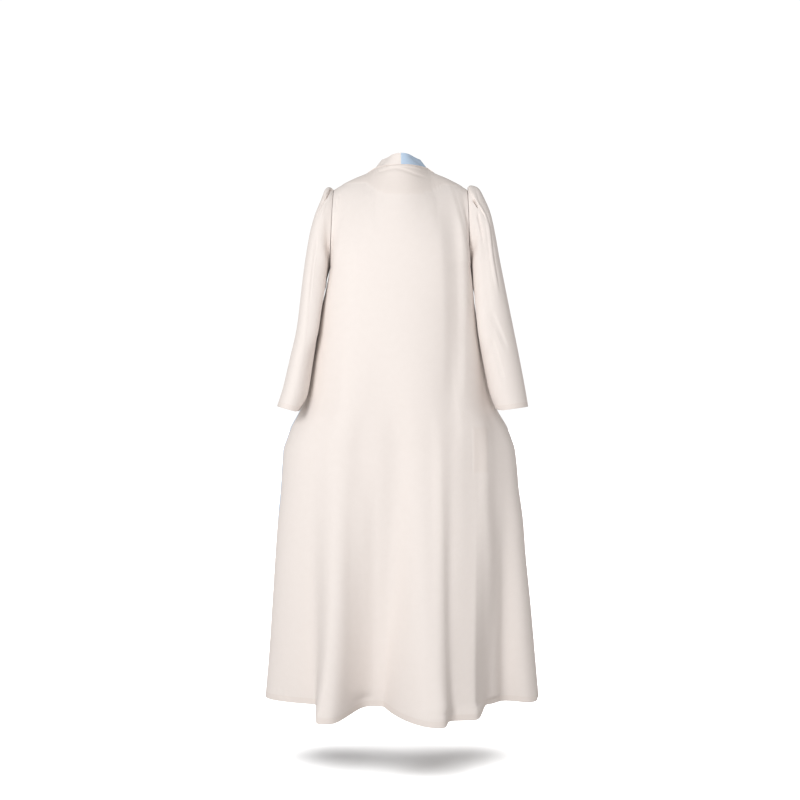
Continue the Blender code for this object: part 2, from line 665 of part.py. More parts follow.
def sleeve_grid(side):
    """Outer points and normals of a sleeve: rings down the arm, columns round it."""
    stations = LEFT_STATIONS if side > 0 else RIGHT_STATIONS
    pleats = LEFT_PLEATS if side > 0 else RIGHT_PLEATS
    places = np.linspace(0.0, len(stations) - 1.0, SLEEVE_RINGS + 1)
    angle, station = np.meshgrid(ring_angles(), places)

    def surface(first, second):
        return sleeve_point(first, second, stations, pleats, side)

    outer = surface(angle, station)
    under = (1.0 - np.cos(np.radians(angle))) / 2
    clear = ARMHOLE_GAP + (UNDERARM_GAP - ARMHOLE_GAP) * under ** 2
    outer[..., 0] += side * clear * np.clip(1.0 - station / 2.0, 0.0, 1.0)
    normals = across_normals(surface, angle, station, 0.5, 0.02, (0.0, len(stations) - 1.0))
    middle = outer.mean(axis=1, keepdims=True)
    return outer, facing_out(normals, outer, middle)


def main():
    for thing in list(bpy.data.objects):
        bpy.data.objects.remove(thing)
    outer, outward = back_grid()
    add_piece("back", wall_mesh("back", outer, outward, PANEL_WALL), CREAM)
    for name, side, front_finish, band_finish in (("left", 1, BLUE, CREAM), ("right", -1, CREAM, BLUE)):
        outer, outward = front_grid(side)
        add_piece("front_" + name, wall_mesh("front_" + name, outer, outward, PANEL_WALL), front_finish)
        outer, outward = band_grid(side)
        add_piece("band_" + name, wall_mesh("band_" + name, outer, outward, BAND_WALL), band_finish)
        outer, outward = sleeve_grid(side)
        wall = wall_mesh("sleeve_" + name, outer, outward, SLEEVE_WALL, ring=True)
        add_piece("sleeve_" + name, wall, CREAM)


main()
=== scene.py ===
# %% [markdown]
# # An abaya cloak, worn and open at the front
# The real garment is sewn from soft, matte crepe: a long back, two fronts, two set-in sleeves, and a band
# that runs round the neck and down both front edges. One front and one half of the band are pale blue,
# and the rest is cream. Each cut piece is built here as a thin closed shell of cloth on the form that the
# frame's solid of the same name has. A shell was chosen over a single layer because an open cloak shows
# both of its faces and its edges, and over a simulation because the folds hang in known places, so they
# can be placed one by one.

# %% Load the frame
from collections import namedtuple

import bpy
import numpy as np
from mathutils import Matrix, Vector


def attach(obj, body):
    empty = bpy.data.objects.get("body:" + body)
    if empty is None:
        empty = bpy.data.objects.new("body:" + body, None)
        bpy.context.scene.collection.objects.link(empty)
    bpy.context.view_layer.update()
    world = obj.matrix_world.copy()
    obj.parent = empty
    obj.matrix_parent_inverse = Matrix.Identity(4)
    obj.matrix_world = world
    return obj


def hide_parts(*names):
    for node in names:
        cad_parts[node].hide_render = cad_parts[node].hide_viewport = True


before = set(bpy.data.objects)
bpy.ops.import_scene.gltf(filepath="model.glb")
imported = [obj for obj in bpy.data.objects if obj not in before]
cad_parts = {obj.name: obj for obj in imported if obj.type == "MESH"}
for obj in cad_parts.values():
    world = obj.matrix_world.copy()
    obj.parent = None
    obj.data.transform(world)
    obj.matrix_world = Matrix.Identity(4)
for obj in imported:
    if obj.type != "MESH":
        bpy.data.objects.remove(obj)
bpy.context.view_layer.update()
print("frame pieces:", sorted(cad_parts))

# %% [markdown]
# ## Sizes of the cloth
# Crepe for such a cloak is about half a millimetre thick. The shells are a little thicker, so that an
# edge still catches some light. Distances are in metres. The front faces -Y, the wearer's left is +X, and
# the origin is the centre of the neck opening.

# %% Cloth sizes
CLOTH = 0.0010
TURNED_CLOTH = 0.0016
BAND_CLOTH = 0.0022
SEAM_GAP = 0.0003
ARMHOLE_GAP = 0.0004
UNDERARM_GAP = 0.0009
SEAM_ROLL = 0.0024
SEAM_DEPTH = 0.0006
HEM_TURN = 0.0140
CUFF_TURN = 0.0120

UNDERARM_Z = -0.25
WAIST_Z = -0.50
HIP_Z = -0.70
HEM_Z = -1.32
HEM_DROP_PER_DEPTH = 0.15

# %% [markdown]
# ## How the cloak hangs
# Below the underarms the cloak is a soft tube, and its flutes grow from nothing at the underarm to deep
# waves at the hem. A table of sections gives the tube's half widths and depths at a few heights. A table
# of flutes gives each wave its two feet, as angles round the body: 0 is the left side, 90 the centre
# back, 180 the right side and -90 the centre front. A smooth curve through the rows gives every height
# between them.

# %% Sections of the body
Section = namedtuple("Section", "z left right back front side_y squareness")
SECTIONS = (
    Section(-0.2500, 0.1760, 0.1700, 0.128, -0.122, 0.000, 2.9),
    Section(-0.2960, 0.1850, 0.1765, 0.131, -0.127, -0.004, 2.85),
    Section(-0.3660, 0.2030, 0.1880, 0.134, -0.131, -0.024, 2.6),
    Section(-0.4600, 0.2185, 0.2030, 0.136, -0.134, -0.036, 2.6),
    Section(-0.5300, 0.2315, 0.2165, 0.137, -0.136, -0.044, 2.55),
    Section(-0.5880, 0.2470, 0.2345, 0.137, -0.138, -0.054, 2.45),
    Section(-0.6150, 0.2600, 0.2490, 0.137, -0.139, -0.058, 2.4),
    Section(-0.6450, 0.2767, 0.2670, 0.137, -0.140, -0.058, 2.4),
    Section(-0.6750, 0.2880, 0.2790, 0.137, -0.140, -0.055, 2.4),
    Section(-0.7000, 0.2965, 0.2870, 0.136, -0.140, -0.050, 2.4),
    Section(-0.7300, 0.2990, 0.2910, 0.136, -0.140, -0.045, 2.4),
    Section(-0.8045, 0.3030, 0.2970, 0.135, -0.139, -0.034, 2.4),
    Section(-0.8680, 0.3085, 0.3055, 0.134, -0.138, -0.026, 2.35),
    Section(-0.9765, 0.3155, 0.3135, 0.132, -0.137, -0.015, 2.3),
    Section(-1.0785, 0.3215, 0.3235, 0.129, -0.136, -0.008, 2.2),
    Section(-1.2188, 0.3305, 0.3355, 0.126, -0.134, -0.003, 2.1),
    Section(-1.3200, 0.3390, 0.3440, 0.124, -0.132, 0.000, 2.1),
)

# Each value of a flute is given at the underarm, the hip and the hem. Its depth grows faster and faster
# from the hip down. A rise curve under 1 turns the foot on the rising side into a crease
Flute = namedtuple("Flute", "name first last rise fall depth rise_curve", defaults=[(1.0, 1.0, 1.0)])
DEPTH_GROWTH = 1.5
FLUTES = (
    Flute("back_left", (46, 46, 52.8), (76, 74, 77), (14, 14, 3.8), (12, 12, 16), (0, 0.011, 0.126)),
    Flute("back_middle", (64, 87, 83), (138, 117, 110), (24, 14, 22), (17, 8, 2.4), (0.003, 0.014, 0.143),
          (1.0, 1.0, 0.4)),
    Flute("back_right", (134, 110, 101), (172, 141, 127), (14, 8, 6), (16, 13, 7), (0.006, 0.012, 0.098)),
    Flute("side_right", (146, 144, 141), (172, 172, 171), (12, 12, 12), (14, 14, 16), (0, 0.002, 0.014)),
    Flute("left_outer", (-50, -50, -46), (-18, -18, -22), (14, 14, 7), (14, 14, 12), (0, 0.006, 0.060)),
    Flute("left_inner", (-71, -71, -70), (-52, -52, -52), (9, 9, 7), (9, 9, 8), (0, 0.008, 0.075)),
    Flute("right_inner", (231, 231, 232), (252, 252, 250), (9, 9, 8), (9, 9, 7), (0, 0.008, 0.070)),
    Flute("right_outer", (200, 200, 203), (229, 229, 226), (13, 13, 12), (13, 13, 7), (0, 0.006, 0.066)),
)
HOLLOW = Flute("hollow", (128, 128, 127), (158, 158, 150), (14, 14, 10), (14, 14, 12), (0, 0.004, 0.026))
print("sections:", len(SECTIONS), "flutes:", len(FLUTES))

# %% Curves and vectors
def soft_step(value):
    """0 below 0, 1 above 1, and smooth between."""
    x = np.clip(value, 0.0, 1.0)
    return x * x * (3.0 - 2.0 * x)


def smooth_table(at, places, values):
    """A smooth curve through a table's values, with places in rising order."""
    places = np.asarray(places, float)
    values = np.asarray(values, float)
    slopes = np.gradient(values, places)
    at = np.clip(at, places[0], places[-1])
    low = np.clip(np.searchsorted(places, at, side="right") - 1, 0, len(places) - 2)
    span = places[low + 1] - places[low]
    t = (at - places[low]) / span
    start = (1.0 + 2.0 * t) * (1.0 - t) ** 2 * values[low] + t * (1.0 - t) ** 2 * span * slopes[low]
    end = t * t * (3.0 - 2.0 * t) * values[low + 1] - t * t * (1.0 - t) * span * slopes[low + 1]
    return start + end


def unit(vectors):
    """Vectors brought to a length of 1."""
    return vectors / np.linalg.norm(vectors, axis=-1, keepdims=True)


def point(x, y, z):
    """Coordinates joined into an array of points."""
    return np.stack(np.broadcast_arrays(x, y, z), axis=-1)


# %% The cloth below the underarms
SECTION_LEVELS = [-section.z for section in SECTIONS]
FOOT_CLOSING = 2.0
SIDEWAYS_POWER = 5


def section_value(name, z):
    """One value of the table of sections, at a height."""
    return smooth_table(-z, SECTION_LEVELS, [getattr(section, name) for section in SECTIONS])


def by_level(values, z):
    """A flute's value at a height, from its values at the underarm, the hip and the hem."""
    return np.interp(-z, (-UNDERARM_Z, -HIP_Z, -HEM_Z), values)


def foot_width(widths, z):
    """How wide a flute's foot is at a height: it closes up late, near the hem."""
    below_hip = np.clip((HIP_Z - z) / (HIP_Z - HEM_Z), 0.0, 1.0)
    late = by_level((0.0, 0.0, 1.0), z) - below_hip ** FOOT_CLOSING
    return by_level(widths, z) - late * (widths[2] - widths[1])


def flute_depth(flute, angle, z):
    """How far one flute stands out at an angle and a height."""
    rising = soft_step((angle - by_level(flute.first, z)) / foot_width(flute.rise, z))
    rising = rising ** by_level(flute.rise_curve, z)
    falling = soft_step((by_level(flute.last, z) - angle) / foot_width(flute.fall, z))
    at_underarm, at_hip, at_hem = flute.depth
    lower = np.clip((HIP_Z - z) / (HIP_Z - HEM_Z), 0.0, 1.0)
    upper = soft_step((UNDERARM_Z - z) / (UNDERARM_Z - HIP_Z))
    above = at_underarm + (at_hip - at_underarm) * upper
    return rising * falling * (above + (at_hem - at_hip) * lower ** DEPTH_GROWTH)


def fold_depth(angle, z):
    """All the flutes together: the furthest one counts, less the hollow between two of them."""
    depth = np.zeros(np.broadcast(angle, z).shape)
    for flute in FLUTES:
        depth = np.maximum(depth, flute_depth(flute, angle, z))
    return depth - flute_depth(HOLLOW, angle, z)


def body_point(angle, z):
    """The outer face of the cloak at an angle round it and a height below the underarms."""
    turn = np.radians(angle)
    across = np.cos(turn)
    along = np.sin(turn)
    power = section_value("squareness", z)
    swell = (np.abs(across) ** power + np.abs(along) ** power) ** (-1.0 / power)
    half_width = np.where(across >= 0.0, section_value("left", z), section_value("right", z))
    side_y = section_value("side_y", z)
    reach = np.where(along >= 0.0, section_value("back", z) - side_y, side_y - section_value("front", z))
    out_x = np.sign(across) * np.abs(across) ** SIDEWAYS_POWER
    length = np.hypot(out_x, along)
    depth = fold_depth(angle, z)
    x = half_width * swell * across + depth * out_x / length
    y = side_y + reach * swell * along + depth * along / length
    return point(x, y, z)


def hem_level(angle):
    """The hem hangs lower where a flute stands out."""
    depth = fold_depth(angle, np.full_like(angle, HEM_Z))
    return HEM_Z - HEM_DROP_PER_DEPTH * np.clip(depth, 0.0, None)


# %% [markdown]
# ## Neck, shoulders and armholes
# Above the underarms the cloth is pulled taut between the shoulder seam and the chest. Each vertical line
# of it is a Bezier curve that leaves the seam sideways and comes down straight. Near an armhole the lines
# are shifted sideways until the last one lies on the armhole itself.

# %% Neck and shoulder sizes
NECK_HALF_WIDTH = 0.066
NECK_BACK_DEPTH = 0.060
NECK_CURVE_POWER = 2.2
NECK_POINT_Y = -0.005
NECK_ANGLE = 60.0
SHOULDER_TIP_Y = -0.010
SHOULDER_LINE_X = (0.066, 0.0775, 0.115, 0.1525, 0.1675)
SHOULDER_LINE_Z = (-0.001, -0.009, -0.0255, -0.0445, -0.0535)
SHOULDER_HANDLE = 0.043
UNDERARM_HANDLE = 0.10
BACK_NECK_SLOPE = 50.0
FRONT_NECK_SLOPE = 32.0
ARMHOLE_REACH = 60.0

# The front opening, as angles from the side seam at the underarm and at the hem
FRONT_EDGE_ANGLES = (72.0, 73.8)
BAND_EDGE_ANGLES = (85.3, 80.8)

# The raised side of the cloak pulls the left side seam towards the back
SEAM_PULL_ANGLE = 13.0
SEAM_PULL_LEVELS = (-0.54, -0.62, -0.84, -0.96)

# Stations of a sleeve, with the outer and the inner point of each ring; x counts away from the body
Station = namedtuple("Station", "outer_x outer_z inner_x inner_z centre_y half_depth")
LEFT_STATIONS = (
    Station(0.1675, -0.0535, 0.1760, -0.2500, 0.000, 0.0550),
    Station(0.1785, -0.0470, 0.1775, -0.2530, 0.001, 0.0555),
    Station(0.1895, -0.0535, 0.1790, -0.2575, 0.003, 0.0560),
    Station(0.1990, -0.0785, 0.1810, -0.2650, 0.007, 0.0570),
    Station(0.2145, -0.1190, 0.1835, -0.2760, 0.013, 0.0575),
    Station(0.2260, -0.1632, 0.1870, -0.2920, 0.020, 0.0575),
    Station(0.2365, -0.2280, 0.1925, -0.3250, 0.031, 0.0570),
    Station(0.2455, -0.3034, 0.2000, -0.3700, 0.042, 0.0560),
    Station(0.2570, -0.4025, 0.2095, -0.4400, 0.050, 0.0550),
    Station(0.2736, -0.4780, 0.2190, -0.5000, 0.054, 0.0545),
    Station(0.2900, -0.5490, 0.2285, -0.5600, 0.058, 0.0540),
    Station(0.3045, -0.5950, 0.2450, -0.6110, 0.060, 0.0535),
)
RIGHT_STATIONS = (
    Station(0.1655, -0.0535, 0.1700, -0.2500, 0.000, 0.0550),
    Station(0.1760, -0.0445, 0.1715, -0.2530, 0.001, 0.0555),
    Station(0.1938, -0.0508, 0.1725, -0.2580, 0.003, 0.0560),
    Station(0.2110, -0.0832, 0.1740, -0.2660, 0.007, 0.0570),
    Station(0.2240, -0.1190, 0.1765, -0.2780, 0.013, 0.0570),
    Station(0.2350, -0.1723, 0.1790, -0.2960, 0.020, 0.0560),
    Station(0.2440, -0.2285, 0.1828, -0.3270, 0.031, 0.0545),
    Station(0.2555, -0.2920, 0.1865, -0.3720, 0.042, 0.0530),
    Station(0.2740, -0.3880, 0.1938, -0.4400, 0.050, 0.0510),
    Station(0.2900, -0.4688, 0.2050, -0.5000, 0.054, 0.0495),
    Station(0.3050, -0.5500, 0.2175, -0.5600, 0.058, 0.0480),
    Station(0.3126, -0.5961, 0.2350, -0.6072, 0.060, 0.0470),
)


# %% Seam lines of the neck, shoulders and armholes
def sleeve_stations(side):
    """The stations of the left sleeve for side +1, and of the right one for -1."""
    return LEFT_STATIONS if side > 0 else RIGHT_STATIONS


def shoulder_point(share, side):
    """The shoulder seam from its tip (0) to the neck (1); side is +1 on the left and -1 on the right."""
    tip_x = sleeve_stations(side)[0].outer_x
    x = tip_x + (NECK_HALF_WIDTH - tip_x) * share
    line_x = NECK_HALF_WIDTH + (SHOULDER_LINE_X[-1] - NECK_HALF_WIDTH) * (1.0 - share)
    z = smooth_table(line_x, SHOULDER_LINE_X, SHOULDER_LINE_Z)
    y = SHOULDER_TIP_Y + (NECK_POINT_Y - SHOULDER_TIP_Y) * share
    return point(side * x, y, z)


def neck_point(share, side):
    """The back neck seam from the shoulder seam (0) to the centre back (1)."""
    x = NECK_HALF_WIDTH * (1.0 - share)
    y = NECK_POINT_Y + NECK_BACK_DEPTH * (1.0 - (1.0 - share) ** NECK_CURVE_POWER)
    z = SHOULDER_LINE_Z[0] * (1.0 - share)
    return point(side * x, y, z)


def armhole_point(angle, side):
    """The armhole: 0 at the shoulder tip, 90 at the back, 180 under the arm, 270 at the front."""
    station = sleeve_stations(side)[0]
    turn = np.radians(angle)
    x = (station.outer_x + station.inner_x) / 2 + (station.outer_x - station.inner_x) / 2 * np.cos(turn)
    z = (station.outer_z + station.inner_z) / 2 + (station.outer_z - station.inner_z) / 2 * np.cos(turn)
    y = SHOULDER_TIP_Y * (1.0 + np.cos(turn)) / 2 + station.half_depth * np.sin(turn)
    return point(side * x, y, z)


# %% The cloth above the underarms
def bent_sheet(top, bottom, above_bottom, facing, slope, share):
    """Cloth that leaves a seam sideways and comes down straight: facing is +1 at the back, -1 in front."""
    drop = np.radians(slope)
    first = top + SHOULDER_HANDLE * point(0.0 * drop, facing * np.cos(drop), -np.sin(drop))
    second = bottom + UNDERARM_HANDLE * above_bottom
    t = share[..., None]
    upper = top * (1 - t) ** 3 + first * 3 * t * (1 - t) ** 2
    return upper + second * 3 * t ** 2 * (1 - t) + bottom * t ** 3


def underarm_row(angle):
    """The row at the underarm, and the way the cloth below runs up into it."""
    level = np.full_like(angle, UNDERARM_Z)
    bottom = body_point(angle, level)
    rise = (bottom - body_point(angle, level - 0.01)) / 0.01
    return bottom, rise


def armhole_shift(share, side, facing):
    """How far a plain bent sheet is from the armhole along its edge."""
    edge_angle = np.full_like(share, 0.0 if side > 0 else 180.0)
    bottom, rise = underarm_row(edge_angle)
    top = shoulder_point(np.zeros_like(share), side)
    plain = bent_sheet(top, bottom, rise, facing, np.zeros_like(share), share)
    middle = (top[..., 2] + UNDERARM_Z) / 2
    half = (top[..., 2] - UNDERARM_Z) / 2
    turn = np.degrees(np.arccos(np.clip((plain[..., 2] - middle) / half, -1.0, 1.0)))
    return armhole_point(turn * facing, side) - plain


def upper_back(angle, share):
    """The back above the underarms: share 0 at the neck and shoulder seams, 1 at the underarm."""
    from_side = np.where(angle <= 90.0, angle, 180.0 - angle)
    left = np.broadcast_to(angle <= 90.0, share.shape)[..., None]
    on_shoulder = np.clip(from_side / NECK_ANGLE, 0.0, 1.0)
    on_neck = np.clip((from_side - NECK_ANGLE) / (90.0 - NECK_ANGLE), 0.0, 1.0)
    shoulder = np.where(left, shoulder_point(on_shoulder, 1), shoulder_point(on_shoulder, -1))
    neck = np.where(left, neck_point(on_neck, 1), neck_point(on_neck, -1))
    top = np.where((from_side > NECK_ANGLE)[..., None], neck, shoulder)
    bottom, rise = underarm_row(angle)
    slope = BACK_NECK_SLOPE * soft_step((from_side - 0.6 * NECK_ANGLE) / (90.0 - 0.6 * NECK_ANGLE))
    sheet = bent_sheet(top, bottom, rise, 1.0, slope, share)
    near = np.clip(1.0 - from_side / ARMHOLE_REACH, 0.0, 1.0)[..., None] ** 2
    shift = np.where(left, armhole_shift(share, 1, 1.0), armhole_shift(share, -1, 1.0))
    return sheet + near * shift


def left_seam_angle(z):
    """How far the left side seam is pulled towards the back."""
    top, full_top, full_bottom, bottom = SEAM_PULL_LEVELS
    coming = soft_step((top - z) / (top - full_top))
    going = soft_step((z - bottom) / (full_bottom - bottom))
    return SEAM_PULL_ANGLE * coming * going


def front_angle(across, z, side, edges):
    """The angle at a share of the way from the side seam to an edge of the front."""
    edge = np.interp(-z, (-UNDERARM_Z, -HEM_Z), edges)
    if side > 0:
        return left_seam_angle(z) * (1.0 - across) - edge * across
    return 180.0 + edge * across


def upper_front(across, share, side):
    """A front above the underarms: across is 0 at the armhole and 1 at the front edge."""
    level = np.full_like(across, UNDERARM_Z)
    top = shoulder_point(across, side)
    bottom, rise = underarm_row(front_angle(across, level, side, FRONT_EDGE_ANGLES))
    slope = FRONT_NECK_SLOPE * soft_step(across)
    sheet = bent_sheet(top, bottom, rise, -1.0, slope, share)
    near = (1.0 - across)[..., None] ** 2
    return sheet + near * armhole_shift(share, side, -1.0)


# %% [markdown]
# ## From a grid of points to cloth
# A panel starts as a grid of points on the cloth's outer face: rows run down, columns run across. Three
# things make it read as sewn cloth. Placed creases move points out or in along the face's normal. Near a
# seam the edge rolls inwards, as pressed cloth does where it turns into the stitching. Near a hem or a
# cuff the cloth is doubled, and its folded edge is round. A second layer of points then gives the shell
# its inner face.

# %% Normals and lengths over a grid
def grid_normals(points, inside, ring):
    """Unit normals of a grid, turned so that they point away from the points inside."""
    around = points
    if ring:
        around = np.concatenate([points[:, -1:], points, points[:, :1]], axis=1)
    across = np.gradient(around, axis=1)
    across = across[:, 1:-1] if ring else across
    down = np.gradient(points, axis=0)
    normals = unit(np.cross(down, across))
    away = np.sum(normals * (points - inside))
    return normals if away > 0.0 else -normals


def lengths_down(points):
    """How far each point lies from the first row, along its column."""
    steps = np.linalg.norm(np.diff(points, axis=0), axis=2)
    return np.concatenate([np.zeros((1, points.shape[1])), np.cumsum(steps, axis=0)])


def lengths_across(points):
    """How far each point lies from the first column, along its row."""
    steps = np.linalg.norm(np.diff(points, axis=1), axis=2)
    return np.concatenate([np.zeros((points.shape[0], 1)), np.cumsum(steps, axis=1)], axis=1)


def body_axis(points):
    """Points inside the body, level with each point of the cloth."""
    return points * np.array((0.6, 0.0, 1.0)) - np.array((0.0, 0.0, 0.02))


# %% Creases placed one by one
# A crease follows a path over a panel. Its depth is above 0 for a ridge and below 0 for a groove, and its
# two widths are to the left and right of the path, for someone who walks along it on the outside of the
# cloth
Crease = namedtuple("Crease", "name path left_width right_width depth fade_in fade_out")
PATH_STEPS = 28


def crease_form(crease, across, down):
    """How far one crease moves the cloth at places across and down a panel."""
    places = np.arange(len(crease.path))
    at = np.linspace(0.0, len(crease.path) - 1.0, PATH_STEPS)
    path_across = smooth_table(at, places, [spot[0] for spot in crease.path])
    path_down = smooth_table(at, places, [spot[1] for spot in crease.path])
    travelled = np.concatenate([[0.0], np.cumsum(np.hypot(np.diff(path_across), np.diff(path_down)))])
    nearest = np.full(across.shape, np.inf)
    signed = np.zeros(across.shape)
    along = np.zeros(across.shape)
    for i in range(PATH_STEPS - 1):
        step = np.array((path_across[i + 1] - path_across[i], path_down[i + 1] - path_down[i]))
        length = max(np.hypot(*step), 1e-9)
        off_across = across - path_across[i]
        off_down = down - path_down[i]
        share = np.clip((off_across * step[0] + off_down * step[1]) / length ** 2, 0.0, 1.0)
        distance = np.hypot(off_across - share * step[0], off_down - share * step[1])
        closer = distance < nearest
        turn = off_across * step[1] - off_down * step[0]
        nearest = np.where(closer, distance, nearest)
        signed = np.where(closer, np.sign(turn) * distance, signed)
        along = np.where(closer, travelled[i] + share * length, along)
    width = np.where(signed > 0.0, crease.left_width, crease.right_width)
    form = np.clip(1.0 - (nearest / width) ** 2, 0.0, 1.0) ** 2
    coming = soft_step(along / crease.fade_in)
    going = soft_step((travelled[-1] - along) / crease.fade_out)
    return crease.depth * form * coming * going


def creased(points, normals, across, down, creases, mask=1.0):
    """The grid with all its creases pressed in or raised."""
    offset = np.zeros(across.shape)
    for crease in creases:
        offset += crease_form(crease, across, down)
    return points + (offset * mask)[..., None] * normals


# %% Closed shells of cloth
Edges = namedtuple("Edges", "seam_first seam_last seam_top turn")
TURN_STEP = 0.0016
THIN_EDGE = 0.3
SHARP_ANGLE = 60.0


def edge_roll(distance, reach):
    """0 at an edge and 1 further in than its reach, on a quarter circle."""
    return np.sqrt(np.clip(1.0 - (1.0 - np.clip(distance / reach, 0.0, 1.0)) ** 2, 0.0, 1.0))


def cloth_shell(name, outer, inside, edges, thickness, ply=None, ring=False, mitre=None):
    """A closed shell from a grid of outer points: seams rolled in, and the last row turned up as a hem.

    Where the mitre is 1, the top edge stands upright, so that the two panels of a shoulder seam can meet.
    """
    normals = grid_normals(outer, inside, ring)
    down = lengths_down(outer)
    if mitre is not None:
        level = 1.0 - mitre * (1.0 - edge_roll(down, SEAM_ROLL))
        normals = unit(normals * np.stack([np.ones_like(level), level, np.ones_like(level)], axis=-1))
    from_hem = down[-1:] - down
    across = lengths_across(outer)
    sink = np.zeros(down.shape)
    if edges.seam_top:
        sink += SEAM_DEPTH * (1.0 - edge_roll(down, SEAM_ROLL))
    if edges.seam_first and not ring:
        sink += SEAM_DEPTH * (1.0 - edge_roll(across, SEAM_ROLL))
    if edges.seam_last and not ring:
        sink += SEAM_DEPTH * (1.0 - edge_roll(across[:, -1:] - across, SEAM_ROLL))
    wall = np.full(down.shape, thickness)
    doubled = np.zeros(down.shape) if ply is None else ply.copy()
    if edges.turn > 0.0:
        in_turn = soft_step((edges.turn - from_hem) / TURN_STEP + 0.5)
        doubled = np.maximum(doubled, in_turn)
        wall = wall + (TURNED_CLOTH - CLOTH) * in_turn
    edge = np.maximum(edge_roll(from_hem, wall / 2), THIN_EDGE)
    middle = outer - (wall / 2 + sink)[..., None] * normals
    front = middle + (wall / 2 * edge)[..., None] * normals
    back = middle - (wall / 2 * edge)[..., None] * normals
    mesh = shell_mesh(name, front, back, normals, across, down, ring)
    add_point_values(mesh, "ply", np.concatenate([doubled.ravel(), doubled.ravel()]))
    piece = bpy.data.objects.new(name, mesh)
    bpy.context.scene.collection.objects.link(piece)
    print(f"{name}: {len(mesh.polygons)} faces, cut about {across[-1, -1]:.2f} m wide at its hem")
    return piece, front, normals


def shell_mesh(name, front, back, normals, across, down, ring):
    """Faces for two grids of points and the strips between their edges, with a map in metres."""
    rows, columns = front.shape[:2]
    right_way = np.sum(np.cross(np.gradient(front, axis=0), np.gradient(front, axis=1)) * normals) > 0.0
    count = rows * columns
    last = columns if ring else columns - 1
    faces = []
    spots = []

    def add(corners):
        """One face, from the row, column and layer of each of its corners."""
        corners = corners if right_way else corners[::-1]
        faces.append([row * columns + column % columns + layer * count for row, column, layer in corners])
        spots.append([(row, column) for row, column, layer in corners])

    for row in range(rows - 1):
        for column in range(last):
            add([(row, column, 0), (row + 1, column, 0), (row + 1, column + 1, 0), (row, column + 1, 0)])
            add([(row, column, 1), (row, column + 1, 1), (row + 1, column + 1, 1), (row + 1, column, 1)])
    foot = rows - 1
    for column in range(last):
        add([(0, column, 0), (0, column + 1, 0), (0, column + 1, 1), (0, column, 1)])
        add([(foot, column + 1, 0), (foot, column, 0), (foot, column, 1), (foot, column + 1, 1)])
    if not ring:
        end = columns - 1
        for row in range(rows - 1):
            add([(row + 1, 0, 0), (row, 0, 0), (row, 0, 1), (row + 1, 0, 1)])
            add([(row, end, 0), (row + 1, end, 0), (row + 1, end, 1), (row, end, 1)])
    mesh = bpy.data.meshes.new(name)
    mesh.from_pydata(np.concatenate([front.reshape(-1, 3), back.reshape(-1, 3)]).tolist(), [], faces)
    widths = across - across[:, columns // 2: columns // 2 + 1]
    if ring:
        closing = np.linalg.norm(front[:, 0] - front[:, -1], axis=1)[:, None]
        widths = np.concatenate([widths, widths[:, -1:] + closing], axis=1)
        down = np.concatenate([down, down[:, :1]], axis=1)
    grid = np.stack([widths, -down], axis=-1)
    spots = np.array(spots).reshape(-1, 2)
    uv = mesh.uv_layers.new(name="cloth")
    uv.data.foreach_set("uv", grid[spots[:, 0], spots[:, 1]].astype(np.float32).ravel())
    mesh.shade_smooth()
    mesh.set_sharp_from_angle(angle=np.radians(SHARP_ANGLE))
    return mesh


def add_point_values(mesh, name, values):
    """One value for each point, which a material can read by its name."""
    attribute = mesh.attributes.new(name, "FLOAT", "POINT")
    attribute.data.foreach_set("value", np.asarray(values, np.float32))


# %% [markdown]
# ## Rows and columns
# Columns are spaced evenly along the cloth, so that the steep side of a flute has as many as its crown.
# Rows lie closer together near the neck, where the creases are small, and at the hem, where the edge is
# round. A few extra ones sit right at each edge for the rolled seam.

# %% Rows and columns of the panels
BACK_HALF_COLUMNS = (64, 26)
FRONT_COLUMNS = 64
FINE_ANGLES = 1200
EDGE_ANGLES = (0.12, 0.35, 0.75)
EDGE_SHARES = (0.0, 0.002, 0.005, 0.010)
EDGE_LENGTHS = (0.0030, 0.0012, 0.0004, 0.0)
RowBand = namedtuple("RowBand", "top bottom rows")
ROW_BANDS = (
    RowBand(-0.25, -0.53, 34),
    RowBand(-0.53, -0.74, 30),
    RowBand(-0.74, -1.29, 58),
    RowBand(-1.29, -1.32 + EDGE_LENGTHS[0], 11),
)


def even_angles(start, end, count):
    """Angles spaced evenly along the cloth, as the mean of its widths at the underarm and at the hem."""
    fine = np.linspace(start, end, FINE_ANGLES)
    share = np.zeros_like(fine)
    for level in (UNDERARM_Z, HEM_Z):
        steps = np.linalg.norm(np.diff(body_point(fine, np.full_like(fine, level)), axis=0), axis=1)
        length = np.concatenate([[0.0], np.cumsum(steps)])
        share += length / length[-1] / 2
    return np.interp(np.linspace(0.0, 1.0, count + 1), share, fine)


def back_columns():
    """The back's columns, with one on each neck point, and closer ones at the side seams."""
    side_count, neck_count = BACK_HALF_COLUMNS
    parts = (
        (0.0, NECK_ANGLE, side_count),
        (NECK_ANGLE, 90.0, neck_count),
        (90.0, 180.0 - NECK_ANGLE, neck_count),
        (180.0 - NECK_ANGLE, 180.0, side_count),
    )
    angles = {0.0}
    for start, end, count in parts:
        angles.update(even_angles(start, end, count))
    angles.update(EDGE_ANGLES)
    angles.update(180.0 - angle for angle in EDGE_ANGLES)
    return np.array(sorted(angles))


def upper_shares():
    """Rows above the underarm, closest at the top."""
    close = np.linspace(EDGE_SHARES[-1], 0.30, 26)[1:]
    wide = np.linspace(0.30, 1.0, 27)[1:-1]
    return np.concatenate([EDGE_SHARES, close, wide])


